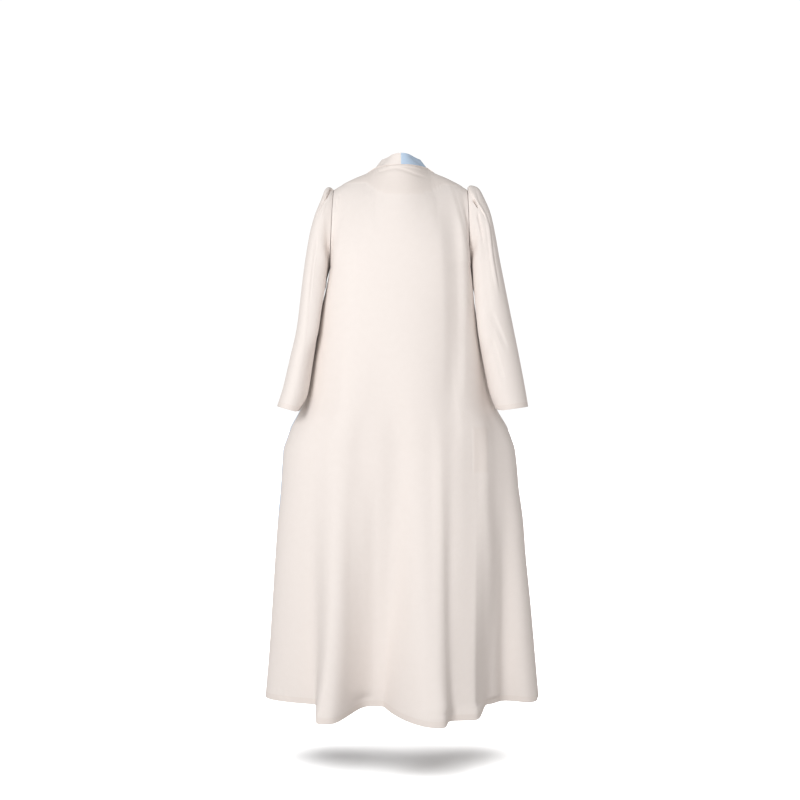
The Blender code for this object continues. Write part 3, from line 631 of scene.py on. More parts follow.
def lower_levels(angle):
    """The heights of the rows below the underarm, stretched to the hem."""
    levels = [UNDERARM_Z]
    for band in ROW_BANDS:
        levels += list(np.linspace(band.top, band.bottom, band.rows + 1)[1:])
    levels += [HEM_Z + length for length in EDGE_LENGTHS[1:]]
    share = (np.array(levels) - UNDERARM_Z) / (HEM_Z - UNDERARM_Z)
    return UNDERARM_Z + share[:, None] * (hem_level(angle) - UNDERARM_Z)[None, :]


def seam_inset(angle_columns, z, half_gap):
    """Angles half a seam gap inside the side seams, with the left seam where the cloth pulls it."""
    reach = section_value("back", z) - section_value("side_y", z)
    gap_angle = np.degrees(half_gap / reach)
    pull = left_seam_angle(z) * np.clip(1.0 - angle_columns / NECK_ANGLE, 0.0, 1.0)
    inward = np.where(angle_columns < 90.0, 1.0, -1.0)
    at_side = np.isclose(np.abs(angle_columns - 90.0), 90.0)
    return angle_columns + pull + np.where(at_side, gap_angle * inward, 0.0)


print("rows above the underarm:", len(upper_shares()), "columns of the back:", len(back_columns()))

# %% [markdown]
# ## The back
# The back is one panel with no seam down its middle. Its top edge follows the neck and the shoulders. A
# shaped facing lies under it below the neck, and shows through as a soft curved edge. On the right a
# pocket bag shows the same way, just below the hip. Where one table hands over to the next, the cloth
# would come out lumpier than it hangs, so its points are then drawn a little towards their neighbours
# along each row. The side seams stay where they are.

# %% Facing and pocket bag under the cloth
FACING_EDGE_X = (-0.105, -0.082, -0.060, -0.036, -0.006, 0.024, 0.046, 0.063, 0.074, 0.087)
FACING_EDGE_Z = (-0.046, -0.060, -0.070, -0.0770, -0.0790, -0.0770, -0.0715, -0.0620, -0.0510, -0.0410)
POCKET_X = (-0.2120, -0.1730)
POCKET_Z = (-0.7590, -0.6420)
UNDERLAY_EDGE = 0.0030
UNDERLAY_DEPTH = 0.0008


def facing_share(points):
    """1 over the neck facing and 0 past its edge."""
    edge = smooth_table(points[..., 0], FACING_EDGE_X, FACING_EDGE_Z)
    return soft_step((points[..., 2] - edge) / UNDERLAY_EDGE + 0.5)


def pocket_share(points):
    """1 over the pocket bag and 0 past its edges."""
    share = np.ones(points.shape[:2])
    for axis, (low, high) in ((0, POCKET_X), (2, POCKET_Z)):
        share = share * soft_step((points[..., axis] - low) / UNDERLAY_EDGE)
        share = share * soft_step((high - points[..., axis]) / UNDERLAY_EDGE)
    return share


# %% Creases of the back, as places across (x) and down (z)
BACK_CREASES = (
    Crease("long fold", ((-0.116, -0.072), (-0.128, -0.169), (-0.132, -0.242), (-0.136, -0.338),
           (-0.137, -0.430), (-0.136, -0.520), (-0.134, -0.640)), 0.022, 0.036, -0.0050, 0.12, 0.16),
    Crease("ridge beside the armhole", ((-0.1526, -0.110), (-0.155, -0.169), (-0.1574, -0.242),
           (-0.1580, -0.338), (-0.1620, -0.435)), 0.012, 0.018, 0.0020, 0.05, 0.10),
    Crease("foot of the main flute", ((-0.096, -0.580), (-0.099, -0.820), (-0.100, -1.060),
           (-0.100, -1.310)), 0.044, 0.030, 0.0048, 0.20, 0.01),
    Crease("flank of the right flute", ((-0.170, -0.600), (-0.186, -0.700), (-0.186, -0.820),
           (-0.187, -1.060),
           (-0.1870, -1.310)), 0.026, 0.060, -0.0066, 0.15, 0.01),
    Crease("side of the right flute", ((-0.219, -0.800), (-0.2215, -1.060), (-0.222, -1.310)),
           0.030, 0.020, 0.006, 0.20, 0.01),
    Crease("ridge of the left flute", ((0.135, -0.532), (0.140, -0.653), (0.147, -0.773), (0.155, -0.894),
           (0.162, -1.015), (0.169, -1.112)), 0.040, 0.060, 0.0020, 0.10, 0.15),
    Crease("foot of the left flute", ((0.094, -0.720), (0.092, -0.900), (0.090, -1.300)),
           0.030, 0.036, 0.006, 0.20, 0.02),
    Crease("middle hollow", ((0.012, -0.560), (0.012, -1.200)), 0.040, 0.040, -0.003, 0.12, 0.15),
    Crease("roll under the band", ((0.038, -0.005), (0.005, -0.0035), (-0.036, -0.006), (-0.055, -0.010)),
           0.004, 0.004, 0.0014, 0.012, 0.012),
    Crease("groove under the band", ((0.062, -0.016), (0.028, -0.0115), (0.009, -0.0105), (-0.017, -0.0177),
           (-0.038, -0.0250), (-0.063, -0.0290), (-0.074, -0.0260)), 0.0045, 0.0080, -0.0014, 0.015, 0.030),
    Crease("left neck ridge", ((0.073, -0.060), (0.072, -0.120), (0.066, -0.190)),
           0.011, 0.032, 0.0014, 0.02, 0.06),
    Crease("right neck ridge", ((-0.073, -0.060), (-0.077, -0.120), (-0.084, -0.200)),
           0.013, 0.032, 0.001, 0.03, 0.08),
    Crease("armhole tuck above", ((0.1546, -0.068), (0.1504, -0.086)),
           0.0045, 0.005, -0.0016, 0.005, 0.008),
    Crease("armhole tuck below", ((0.159, -0.082), (0.1608, -0.118)), 0.0045, 0.005, -0.002, 0.010, 0.012),
    Crease("first hem pucker", ((0.294, -1.270), (0.295, -1.312)), 0.008, 0.008, -0.0012, 0.02, 0.004),
    Crease("second hem pucker", ((0.276, -1.278), (0.275, -1.312)), 0.008, 0.008, -0.001, 0.02, 0.004),
)


# %% Build the back
FULL_EASE = 0.5
HEM_HOLDS = 0.35
NECK_ROUNDS = 160
EASE_BELOW_NECK = 0.05
SKIRT_ROUNDS = 5
EASE_ABOVE_HEM = 0.12
SIDE_SEAM_ANGLES = (15.0, 25.0)
MITRE_FADE = 2.0


def eased(points, weight, rounds):
    """Points drawn towards their neighbours along the rows, as far as their weight lets them."""
    result = points.copy()
    for _ in range(rounds):
        between = (result[:, :-2] + result[:, 2:]) / 2
        result[:, 1:-1] += weight[:, 1:-1, None] * (between - result[:, 1:-1])
    return result


def back_points():
    """Outer points of the back panel."""
    columns = back_columns()
    angle, share = np.meshgrid(columns, upper_shares())
    upper = upper_back(angle, share)
    upper[0, :, 1] += SEAM_GAP / 2
    z = lower_levels(columns)
    lower_angle = seam_inset(np.broadcast_to(columns, z.shape), z, SEAM_GAP / 2)
    whole = np.concatenate([upper, body_point(lower_angle, z)])
    below_neck = soft_step(-whole[..., 2] / EASE_BELOW_NECK)
    above_hip = soft_step((whole[..., 2] - HIP_Z) / (UNDERARM_Z - HIP_Z))
    from_side = np.minimum(columns, 180.0 - columns)[None, :]
    below_neck_point = soft_step((from_side - 0.5 * NECK_ANGLE) / (0.25 * NECK_ANGLE))
    whole = eased(whole, FULL_EASE * below_neck * above_hip * below_neck_point, NECK_ROUNDS)
    start, full = SIDE_SEAM_ANGLES
    off_seam = soft_step((from_side - start) / (full - start))
    below_waist = soft_step((WAIST_Z - whole[..., 2]) / (WAIST_Z - HIP_Z))
    near_hem = soft_step((EASE_ABOVE_HEM + HEM_Z - whole[..., 2]) / EASE_ABOVE_HEM)
    return eased(whole, off_seam * below_waist * (FULL_EASE - HEM_HOLDS * near_hem), SKIRT_ROUNDS)


PANEL_EDGES = Edges(seam_first=True, seam_last=True, seam_top=True, turn=HEM_TURN)
back_outer = back_points()
back_normals = grid_normals(back_outer, body_axis(back_outer), ring=False)
back_outer = creased(back_outer, back_normals, back_outer[..., 0], back_outer[..., 2], BACK_CREASES)
back_ply = np.maximum(facing_share(back_outer), pocket_share(back_outer))
back_outer = back_outer + (UNDERLAY_DEPTH * back_ply)[..., None] * back_normals
back_from_side = 90.0 - np.abs(back_columns() - 90.0)
back_mitre = soft_step((NECK_ANGLE - back_from_side) / MITRE_FADE + 1.0)
back_panel, back_face, back_normals = cloth_shell(
    "back_panel", back_outer, body_axis(back_outer), PANEL_EDGES, CLOTH, ply=back_ply, mitre=back_mitre)

# %% [markdown]
# ## The fronts
# Each front runs from the armhole and the side seam to the band. It hangs from the same shoulder seam as
# the back, and shares its rows, so the two meet along the side.

# %% Build the fronts
def front_points(side):
    """Outer points of a front, from its side seam to the seam of its band."""
    across_columns = np.linspace(0.0, 1.0, FRONT_COLUMNS + 1)
    near_seam = np.array(EDGE_ANGLES) / FRONT_EDGE_ANGLES[0]
    across_columns = np.sort(np.concatenate([across_columns, near_seam, 1.0 - near_seam]))
    across, share = np.meshgrid(across_columns, upper_shares())
    upper = upper_front(across, share, side)
    upper[0, :, 1] -= SEAM_GAP / 2
    hem_angles = front_angle(across_columns, np.full_like(across_columns, HEM_Z), side, FRONT_EDGE_ANGLES)
    z = lower_levels(hem_angles)
    gap_angle = np.degrees(SEAM_GAP / 2 / (section_value("side_y", z) - section_value("front", z)))
    angle = front_angle(np.broadcast_to(across_columns, z.shape), z, side, FRONT_EDGE_ANGLES)
    angle[:, 0] -= side * gap_angle[:, 0]
    return np.concatenate([upper, body_point(angle, z)])


fronts = {}
for side, name in ((1, "left_front"), (-1, "right_front")):
    outer = front_points(side)
    front_mitre = np.ones(outer.shape[1])
    fronts[side] = cloth_shell(name, outer, body_axis(outer), PANEL_EDGES, CLOTH, mitre=front_mitre)

# %% [markdown]
# ## The sleeves
# A sleeve is a tube of rings between the armhole and the cuff. Its head is cut larger than the armhole,
# and the extra cloth is laid in small pleats that run out over the upper arm. The pleats and the long
# soft folds below them are creases, placed by the angle round the arm (0 on top, 90 at the back) and the
# distance down it.

# %% Sleeve surface
AngleBand = namedtuple("AngleBand", "first last columns")
SLEEVE_COLUMNS = (AngleBand(-180.0, -20.0, 26), AngleBand(-20.0, 80.0, 146), AngleBand(80.0, 180.0, 50))
LengthBand = namedtuple("LengthBand", "first last rows")
SLEEVE_ROWS = (LengthBand(0.004, 0.050, 56), LengthBand(0.050, 0.160, 44), LengthBand(0.160, 0.450, 50))
ARMHOLE_ROWS = (0.0, 0.0006, 0.0014, 0.0026)
CUFF_ROWS = (0.0240, 0.0190, 0.0155, 0.0140, 0.0125, 0.0110, 0.0090, 0.0060)
CUFF_LIFT = {1: 0.035, -1: 0.006}
CUFF_LIFT_ANGLE = 50.0
LEAN_STATIONS = 4.0
CLEAR_STATIONS = 2.0
ARM_LINE_ANGLES = (60.0, 120.0)
FINE_STATIONS = 600
DEGREE = 0.0012


def sleeve_point(angle, station, side):
    """The plain outer face of a sleeve: angle round it, and station from 0 at the armhole to the cuff."""
    stations = sleeve_stations(side)
    places = np.arange(len(stations))
    values = {}
    for name in Station._fields:
        values[name] = smooth_table(station, places, [getattr(row, name) for row in stations])
    turn = np.radians(angle)
    half_x = (values["outer_x"] - values["inner_x"]) / 2
    half_z = (values["outer_z"] - values["inner_z"]) / 2
    middle_x = (values["outer_x"] + values["inner_x"]) / 2
    middle_z = (values["outer_z"] + values["inner_z"]) / 2
    lean = SHOULDER_TIP_Y * (1.0 + np.cos(turn)) / 2 * np.clip(1.0 - station / LEAN_STATIONS, 0.0, 1.0)
    x = middle_x + half_x * np.cos(turn)
    y = values["centre_y"] + values["half_depth"] * np.sin(turn) + lean
    z = middle_z + half_z * np.cos(turn)
    return point(side * x, y, z)


def sleeve_stations_down(side):
    """Fine stations, how far down the arm each of them is, and how far down each row of the grid is."""
    fine = np.linspace(0.0, len(sleeve_stations(side)) - 1.0, FINE_STATIONS)
    line = sum(sleeve_point(np.full_like(fine, angle), fine, side) for angle in ARM_LINE_ANGLES) / 2
    length = np.concatenate([[0.0], np.cumsum(np.linalg.norm(np.diff(line, axis=0), axis=1))])
    rows = [np.linspace(band.first, band.last, band.rows + 1)[:-1] for band in SLEEVE_ROWS]
    places = np.concatenate([ARMHOLE_ROWS, *rows, length[-1] - np.array(CUFF_ROWS + EDGE_LENGTHS)])
    return fine, length, places


def sleeve_points(side):
    """Outer points of a sleeve before its pleats, with the angle and the distance down of each."""
    fine, length, places = sleeve_stations_down(side)
    columns = [np.linspace(band.first, band.last, band.columns + 1)[:-1] for band in SLEEVE_COLUMNS]
    angle, down = np.meshgrid(np.concatenate(columns), places)
    lifted = CUFF_LIFT[side] * soft_step((np.abs(angle) - 180.0) / CUFF_LIFT_ANGLE + 1.0)
    station = np.interp(down * (1.0 - lifted / length[-1]), length, fine)
    outer = sleeve_point(angle, station, side)
    under = (1.0 - np.cos(np.radians(angle))) / 2
    clear = ARMHOLE_GAP + (UNDERARM_GAP - ARMHOLE_GAP) * under ** 2
    outer[..., 0] += side * clear * np.clip(1.0 - station / CLEAR_STATIONS, 0.0, 1.0)
    return outer, side * angle * DEGREE, down


# %% Pleats and folds of the sleeves, as places round (degrees) and down (metres)
# The map of a sleeve is cut open inside the arm, so the ridge there is given for each side of the cut
BOTH_SLEEVES_CREASES = (
    Crease("back of the arm", ((105, 0.020), (122, 0.070), (134, 0.130), (138, 0.220), (138, 0.340)),
           0.050, 0.050, 0.0085, 0.05, 0.08),
    Crease("inside of the arm", ((172, 0.080), (175, 0.100), (176, 0.120), (176, 0.140)),
           0.040, 0.040, 0.0022, 0.03, 0.03),
    Crease("inside of the arm, other half", ((-188, 0.080), (-185, 0.100), (-184, 0.120), (-184, 0.140)),
           0.040, 0.040, 0.0022, 0.03, 0.03),
)
LEFT_SLEEVE_CREASES = (
    Crease("inner pleat", ((4, 0.002), (30, 0.005), (40, 0.009), (46, 0.014), (43, 0.027), (40, 0.036),
           (38, 0.046),
           (40, 0.059)), 0.0023, 0.0023, -0.0075, 0.003, 0.022),
    Crease("mouth of the inner pleat", ((44, 0.020), (42, 0.030), (39, 0.042)),
           0.003, 0.0026, -0.003, 0.008, 0.010),
    Crease("outer pleat", ((12, 0.003), (30, 0.008), (36, 0.013), (36, 0.022), (35, 0.032)),
           0.0022, 0.0022, -0.006, 0.003, 0.010),
    Crease("roll between the pleats", ((20, 0.005), (36, 0.0095), (41, 0.015), (39.5, 0.024)),
           0.0026, 0.0026, 0.0012, 0.004, 0.010),
    Crease("cloth beside the pleats", ((52, 0.012), (56, 0.026), (54, 0.050)),
           0.012, 0.008, 0.0018, 0.010, 0.020),
    Crease("arm fold", ((64, 0.058), (78, 0.080), (83, 0.116), (90, 0.172), (92, 0.206), (93, 0.250)),
           0.008, 0.018, -0.0016, 0.03, 0.07),
)
RIGHT_SLEEVE_CREASES = (
    Crease("edge of the pleat", ((3, 0.002), (33, 0.005), (45, 0.010), (52, 0.014), (56, 0.022),
           (55, 0.032),
           (52, 0.050), (54, 0.064)), 0.0100, 0.0017, 0.0036, 0.003, 0.030),
    Crease("pocket of the pleat", ((51, 0.0095), (55, 0.012), (59, 0.0165), (61, 0.022)),
           0.0026, 0.0028, -0.0105, 0.003, 0.004),
    Crease("roll below the pleat", ((52, 0.050), (55, 0.072), (58, 0.083), (64, 0.117), (65, 0.154),
           (63, 0.195),
           (64, 0.226)), 0.0110, 0.0150, 0.0034, 0.025, 0.08),
    Crease("shade beside the roll", ((42, 0.046), (44, 0.075), (49, 0.100), (54, 0.140), (54, 0.190),
           (54, 0.220)), 0.009, 0.008, -0.0012, 0.02, 0.06),
    Crease("hollow under the pleat", ((67, 0.018), (76, 0.036), (84, 0.056), (92, 0.085)),
           0.010, 0.011, -0.0036, 0.010, 0.035),
    Crease("elbow fold", ((100, 0.230), (80, 0.300), (66, 0.350)), 0.012, 0.016, -0.002, 0.03, 0.04),
    Crease("forearm fold", ((112, 0.290), (104, 0.360), (98, 0.420)), 0.010, 0.014, -0.0018, 0.03, 0.03),
)


def on_sleeve(creases, side):
    """Creases with their degrees turned into metres, in the direction in which a sleeve's map runs."""
    placed = []
    for crease in creases + BOTH_SLEEVES_CREASES:
        spots = tuple((side * angle * DEGREE, down) for angle, down in crease.path)
        placed.append(crease._replace(path=spots))
    return placed


SLEEVE_CREASES = {1: on_sleeve(LEFT_SLEEVE_CREASES, 1), -1: on_sleeve(RIGHT_SLEEVE_CREASES, -1)}

# %% Build the sleeves
SLEEVE_EDGES = Edges(seam_first=False, seam_last=False, seam_top=True, turn=CUFF_TURN)
sleeves = {}
for side, name in ((1, "left_sleeve"), (-1, "right_sleeve")):
    outer, across, down = sleeve_points(side)
    middle = np.broadcast_to(outer.mean(axis=1, keepdims=True), outer.shape)
    normals = grid_normals(outer, middle, ring=True)
    outer = creased(outer, normals, across, down, SLEEVE_CREASES[side])
    sleeves[side] = cloth_shell(name, outer, middle, SLEEVE_EDGES, CLOTH, ring=True)

# %% [markdown]
# ## The neck and front bands
# A folded band finishes the neck and both front edges. It stands up round the back of the neck, leans
# over on the shoulders and lies flat down the front. The two halves meet in a seam at the centre back,
# where the colour changes. The grid's rows run across the band here, so that its last row is the folded
# edge.

# %% Band surface
BAND_WIDTH = 0.030
BAND_LEAN_BACK = 7.0
BAND_LEAN_SIDE = 38.0
BAND_ACROSS = 14
BAND_EDGE_SHARES = (0.015, 0.04, 0.12, 0.18, 0.94, 0.975, 0.99)
NECK_ROWS = 36
NECKLINE_ROWS = 56


def band_path(side):
    """The seam of a band above the underarm, with the share round the neck and the share down the front."""
    on_neck = np.linspace(1.0, 0.0, NECK_ROWS + 1)
    neck = neck_point(on_neck, side)
    neck[0, 0] = side * SEAM_GAP / 2
    shares = np.linspace(0.0, 1.0, NECKLINE_ROWS + 1)[1:-1]
    neckline = upper_front(np.ones_like(shares), shares, side)
    round_neck = np.concatenate([1.0 - on_neck, np.ones_like(shares)])
    down_front = np.concatenate([np.zeros_like(on_neck), shares])
    return np.concatenate([neck, neckline]), round_neck, down_front


def band_shares():
    """Places across the band, with close ones at its seam and its folded edge."""
    plain = np.linspace(0.0, 1.0, BAND_ACROSS + 1)
    return np.sort(np.concatenate([plain, BAND_EDGE_SHARES]))


def band_lower(side, share):
    """The band below the underarm lies in the front's own surface."""
    hem_angle = front_angle(np.ones(1), np.full(1, HEM_Z), side, FRONT_EDGE_ANGLES)
    z = lower_levels(hem_angle)
    seam = front_angle(np.ones_like(z), z, side, FRONT_EDGE_ANGLES)
    edge = front_angle(np.ones_like(z), z, side, BAND_EDGE_ANGLES)
    half_width = section_value("left" if side > 0 else "right", z)
    seam = seam - side * np.degrees(SEAM_GAP / half_width)
    return body_point(seam + (edge - seam) * share, z + 0.0 * share)


def band_points(side):
    """Outer points of a band, one row for each place across it."""
    share = band_shares()
    path, round_neck, down_front = band_path(side)
    lower = band_lower(side, share[None, :])
    tangent = unit(np.gradient(np.concatenate([path, lower[:1, 0]]), axis=0))[:-1]
    flat_inward = unit(lower[0, -1] - lower[0, 0])
    flat_width = np.linalg.norm(lower[0, -1] - lower[0, 0])
    lean = BAND_LEAN_BACK + (BAND_LEAN_SIDE - BAND_LEAN_BACK) * soft_step(round_neck)
    lean = np.radians(lean + (90.0 - BAND_LEAN_SIDE) * soft_step(down_front))
    turn = np.radians(90.0 * round_neck)
    inward = point(-side * np.sin(turn), -np.cos(turn), 0.0 * turn)
    inward = unit((1 - down_front)[:, None] * inward + down_front[:, None] * flat_inward)
    up = side * unit(np.cross(inward, tangent))
    up = np.where((down_front == 0.0)[:, None], np.array((0.0, 0.0, 1.0)), up)
    way = np.cos(lean)[:, None] * up + np.sin(lean)[:, None] * inward
    width = BAND_WIDTH + down_front * (flat_width - BAND_WIDTH)
    steps = SEAM_GAP + (width[:, None] - SEAM_GAP) * share
    upper = path[:, None] + steps[..., None] * way[:, None]
    return np.concatenate([upper, lower]).transpose(1, 0, 2)


# %% Build the bands
BAND_CREASES = {
    1: (
        Crease("soft line", ((0.024, 0.027), (0.041, 0.015), (0.051, 0.002)),
               0.005, 0.005, -0.0009, 0.008, 0.006),
    ),
    -1: (
        Crease("diagonal fold", ((-0.019, 0.025), (-0.035, 0.016), (-0.050, 0.006), (-0.061, 0.002)),
               0.0045, 0.005, -0.001, 0.008, 0.006),
        Crease("roll over the fold", ((-0.030, 0.024), (-0.045, 0.017), (-0.058, 0.008)),
               0.005, 0.005, 0.001, 0.010, 0.008),
    ),
}
BAND_EDGES = Edges(seam_first=False, seam_last=False, seam_top=True, turn=0.0)
bands = {}
for side, name in ((1, "left_band"), (-1, "right_band")):
    outer = band_points(side)
    inside = outer * np.array((0.5, 0.5, 1.0)) - np.array((0.0, 0.0, 0.01))
    normals = grid_normals(outer, inside, ring=False)
    behind_neck = soft_step(outer[..., 1] / 0.01)
    outer = creased(outer, normals, outer[..., 0], outer[..., 2], BAND_CREASES[side], behind_neck)
    bands[side] = cloth_shell(name, outer, inside, BAND_EDGES, BAND_CLOTH)

# %% [markdown]
# ## Crepe
# Crepe is woven from tightly twisted yarn, which gives it a dry, pebbled surface and very little shine. A
# shader node group makes that surface from the cloth's own map, which is in metres, so the yarns follow
# each cut piece. It puts out a height for the bumps, and a tone that varies a little from place to place.
# Doubled cloth lets less light through and looks slightly deeper in colour, which the "ply" attribute
# carries.

# %% Helpers for node trees
def wire(tree, *joins):
    """Links in a node tree, each given as a node, its output, the next node and its input."""
    for source, output, target, entry in joins:
        tree.links.new(source.outputs[output], target.inputs[entry])


def math_node(nodes, operation, first=None, second=None):
    """A maths node, with its first two numbers set where they are given."""
    node = nodes.new("ShaderNodeMath")
    node.operation = operation
    for socket, value in zip(node.inputs, (first, second)):
        if value is not None:
            socket.default_value = value
    return node


# %% The crepe node group
YARN_SPACING = 0.00045
PEBBLE_SIZE = 0.0011
YARN_WANDER = 5.0
WEAVE_SHARE = 0.3
CLOUD_SCALE = 60.0
PEBBLE_TONE = 0.35
CLOUD_TONE = 0.65


def crepe_group():
    """Height and tone of crepe, from a map in metres."""
    group = bpy.data.node_groups.new("crepe weave", "ShaderNodeTree")
    face = group.interface
    face.new_socket("Map", in_out="INPUT", socket_type="NodeSocketVector")
    for name, size in (("Yarn spacing", YARN_SPACING), ("Pebble size", PEBBLE_SIZE)):
        face.new_socket(name, in_out="INPUT", socket_type="NodeSocketFloat").default_value = size
    for name in ("Height", "Tone"):
        face.new_socket(name, in_out="OUTPUT", socket_type="NodeSocketFloat")
    nodes = group.nodes
    enter = nodes.new("NodeGroupInput")
    leave = nodes.new("NodeGroupOutput")
    split = nodes.new("ShaderNodeSeparateXYZ")
    per_yarn = math_node(nodes, "DIVIDE", 2.0 * np.pi)
    per_pebble = math_node(nodes, "DIVIDE", 1.0)
    pebbles = nodes.new("ShaderNodeTexNoise")
    pebbles.inputs["Detail"].default_value = 2.0
    clouds = nodes.new("ShaderNodeTexNoise")
    clouds.inputs["Detail"].default_value = 4.0
    clouds.inputs["Scale"].default_value = CLOUD_SCALE
    woven = math_node(nodes, "MULTIPLY")
    for axis in (0, 1):
        turned = math_node(nodes, "MULTIPLY")
        wander = math_node(nodes, "MULTIPLY_ADD", None, YARN_WANDER)
        wave = math_node(nodes, "SINE")
        wire(group, (split, axis, turned, 0), (per_yarn, 0, turned, 1), (pebbles, 0, wander, 0),
             (turned, 0, wander, 2), (wander, 0, wave, 0), (wave, 0, woven, axis))
    height = math_node(nodes, "MULTIPLY_ADD", None, WEAVE_SHARE)
    tone = math_node(nodes, "MULTIPLY_ADD", None, PEBBLE_TONE)
    cloudy = math_node(nodes, "MULTIPLY", None, CLOUD_TONE)
    wire(group, (enter, "Map", split, 0), (enter, "Map", pebbles, "Vector"),
         (enter, "Map", clouds, "Vector"), (enter, "Yarn spacing", per_yarn, 1),
         (enter, "Pebble size", per_pebble, 1),
         (per_pebble, 0, pebbles, "Scale"), (woven, 0, height, 0), (pebbles, 0, height, 2),
         (clouds, 0, cloudy, 0), (pebbles, 0, tone, 0), (cloudy, 0, tone, 2),
         (height, 0, leave, "Height"), (tone, 0, leave, "Tone"))
    return group


crepe = crepe_group()
print("crepe group sockets:", [item.name for item in crepe.interface.items_tree])

# %% The two cloths
ClothColour = namedtuple("ClothColour", "name light deep doubled")
CREAM = ClothColour("cream_crepe", (0.888, 0.832, 0.797), (0.872, 0.814, 0.777), (0.850, 0.782, 0.738))
BLUE = ClothColour("blue_crepe", (0.545, 0.698, 0.880), (0.520, 0.670, 0.850), (0.500, 0.645, 0.825))
CREPE_ROUGHNESS = 0.85
CREPE_SHEEN = 0.12
BUMP_STRENGTH = 0.30
BUMP_DISTANCE = 0.0002
CREPE_SPECULAR = 0.25
SHEEN_ROUGHNESS = 0.5
TONE_STOPS = (0.3, 0.7)
DOUBLED_SHARE = 0.7


def crepe_material(colour):
    """A matte crepe in one colour."""
    material = bpy.data.materials.new(colour.name)
    material.use_nodes = True
    nodes = material.node_tree.nodes
    shader = nodes["Principled BSDF"]
    shader.inputs["Roughness"].default_value = CREPE_ROUGHNESS
    shader.inputs["Specular IOR Level"].default_value = CREPE_SPECULAR
    shader.inputs["Sheen Weight"].default_value = CREPE_SHEEN
    shader.inputs["Sheen Roughness"].default_value = SHEEN_ROUGHNESS
    cloth_map = nodes.new("ShaderNodeUVMap")
    cloth_map.uv_map = "cloth"
    weave = nodes.new("ShaderNodeGroup")
    weave.node_tree = crepe
    bump = nodes.new("ShaderNodeBump")
    bump.inputs["Strength"].default_value = BUMP_STRENGTH
    bump.inputs["Distance"].default_value = BUMP_DISTANCE
    tone = nodes.new("ShaderNodeValToRGB")
    for stop, position, paint in zip(tone.color_ramp.elements, TONE_STOPS, (colour.deep, colour.light)):
        stop.position = position
        stop.color = (*paint, 1.0)
    ply = nodes.new("ShaderNodeAttribute")
    ply.attribute_name = "ply"
    amount = math_node(nodes, "MULTIPLY", None, DOUBLED_SHARE)
    mix = nodes.new("ShaderNodeMix")
    mix.data_type = "RGBA"
    mix.inputs["B"].default_value = (*colour.doubled, 1.0)
    wire(material.node_tree, (cloth_map, 0, weave, "Map"), (weave, "Height", bump, "Height"),
         (bump, 0, shader, "Normal"), (weave, "Tone", tone, 0), (ply, "Fac", amount, 0),
         (amount, 0, mix, "Factor"), (tone, 0, mix, "A"), (mix, "Result", shader, "Base Color"))
    return material


cream_crepe = crepe_material(CREAM)
blue_crepe = crepe_material(BLUE)

# %% [markdown]
# ## Stitches
# A machine sews down the turned hem and cuffs, and the folded edge of the band, with a row of short, even
# stitches. They could be placed one by one in a loop, but Geometry Nodes follows a path and keeps the
# spacing even by itself: it turns the path into a curve, cuts it into equal steps, and lays one small
# flattened ball of thread on each, turned along the seam and flat on the cloth.

# %% The stitch row tree
STITCH_SPACING = 0.0030
STITCH_LENGTH = 0.0023
STITCH_WIDTH = 0.00045
STITCH_HEIGHT = 0.00025
STITCH_SEGMENTS = 6
STITCH_RINGS = 4


def stitch_row_tree():
    """A node tree that lays stitches along a path of edges."""
    tree = bpy.data.node_groups.new("stitch row", "GeometryNodeTree")
    face = tree.interface
    face.new_socket("Geometry", in_out="INPUT", socket_type="NodeSocketGeometry")
    face.new_socket("Spacing", in_out="INPUT", socket_type="NodeSocketFloat").default_value = STITCH_SPACING
    face.new_socket("Stitch size", in_out="INPUT", socket_type="NodeSocketVector")
    face.new_socket("Thread", in_out="INPUT", socket_type="NodeSocketMaterial")
    face.new_socket("Geometry", in_out="OUTPUT", socket_type="NodeSocketGeometry")
    nodes = tree.nodes
    enter = nodes.new("NodeGroupInput")
    leave = nodes.new("NodeGroupOutput")
    to_curve = nodes.new("GeometryNodeMeshToCurve")
    steps = nodes.new("GeometryNodeResampleCurve")
    steps.mode = "LENGTH"
    along = nodes.new("GeometryNodeInputTangent")
    facing = nodes.new("GeometryNodeInputNamedAttribute")
    facing.data_type = "FLOAT_VECTOR"
    facing.inputs["Name"].default_value = "facing"
    turn_along = nodes.new("FunctionNodeAlignRotationToVector")
    turn_along.axis = "X"
    turn_flat = nodes.new("FunctionNodeAlignRotationToVector")
    turn_flat.axis = "Z"
    turn_flat.pivot_axis = "X"
    ball = nodes.new("GeometryNodeMeshUVSphere")
    ball.inputs["Segments"].default_value = STITCH_SEGMENTS
    ball.inputs["Rings"].default_value = STITCH_RINGS
    ball.inputs["Radius"].default_value = 0.5
    flatten = nodes.new("GeometryNodeTransform")
    lay = nodes.new("GeometryNodeInstanceOnPoints")
    real = nodes.new("GeometryNodeRealizeInstances")
    paint = nodes.new("GeometryNodeSetMaterial")
    wire(tree, (enter, "Geometry", to_curve, "Mesh"), (to_curve, "Curve", steps, "Curve"),
         (enter, "Spacing", steps, "Length"), (along, "Tangent", turn_along, "Vector"),
         (turn_along, "Rotation", turn_flat, "Rotation"), (facing, "Attribute", turn_flat, "Vector"),
         (ball, "Mesh", flatten, "Geometry"), (enter, "Stitch size", flatten, "Scale"),
         (steps, "Curve", lay, "Points"), (flatten, "Geometry", lay, "Instance"),
         (turn_flat, "Rotation", lay, "Rotation"), (lay, "Instances", real, "Geometry"),
         (real, "Geometry", paint, "Geometry"), (enter, "Thread", paint, "Material"),
         (paint, "Geometry", leave, "Geometry"))
    return tree


stitch_tree = stitch_row_tree()
print("stitch tree nodes:", len(stitch_tree.nodes))


# %% Thread
THREAD_ROUGHNESS = 0.6


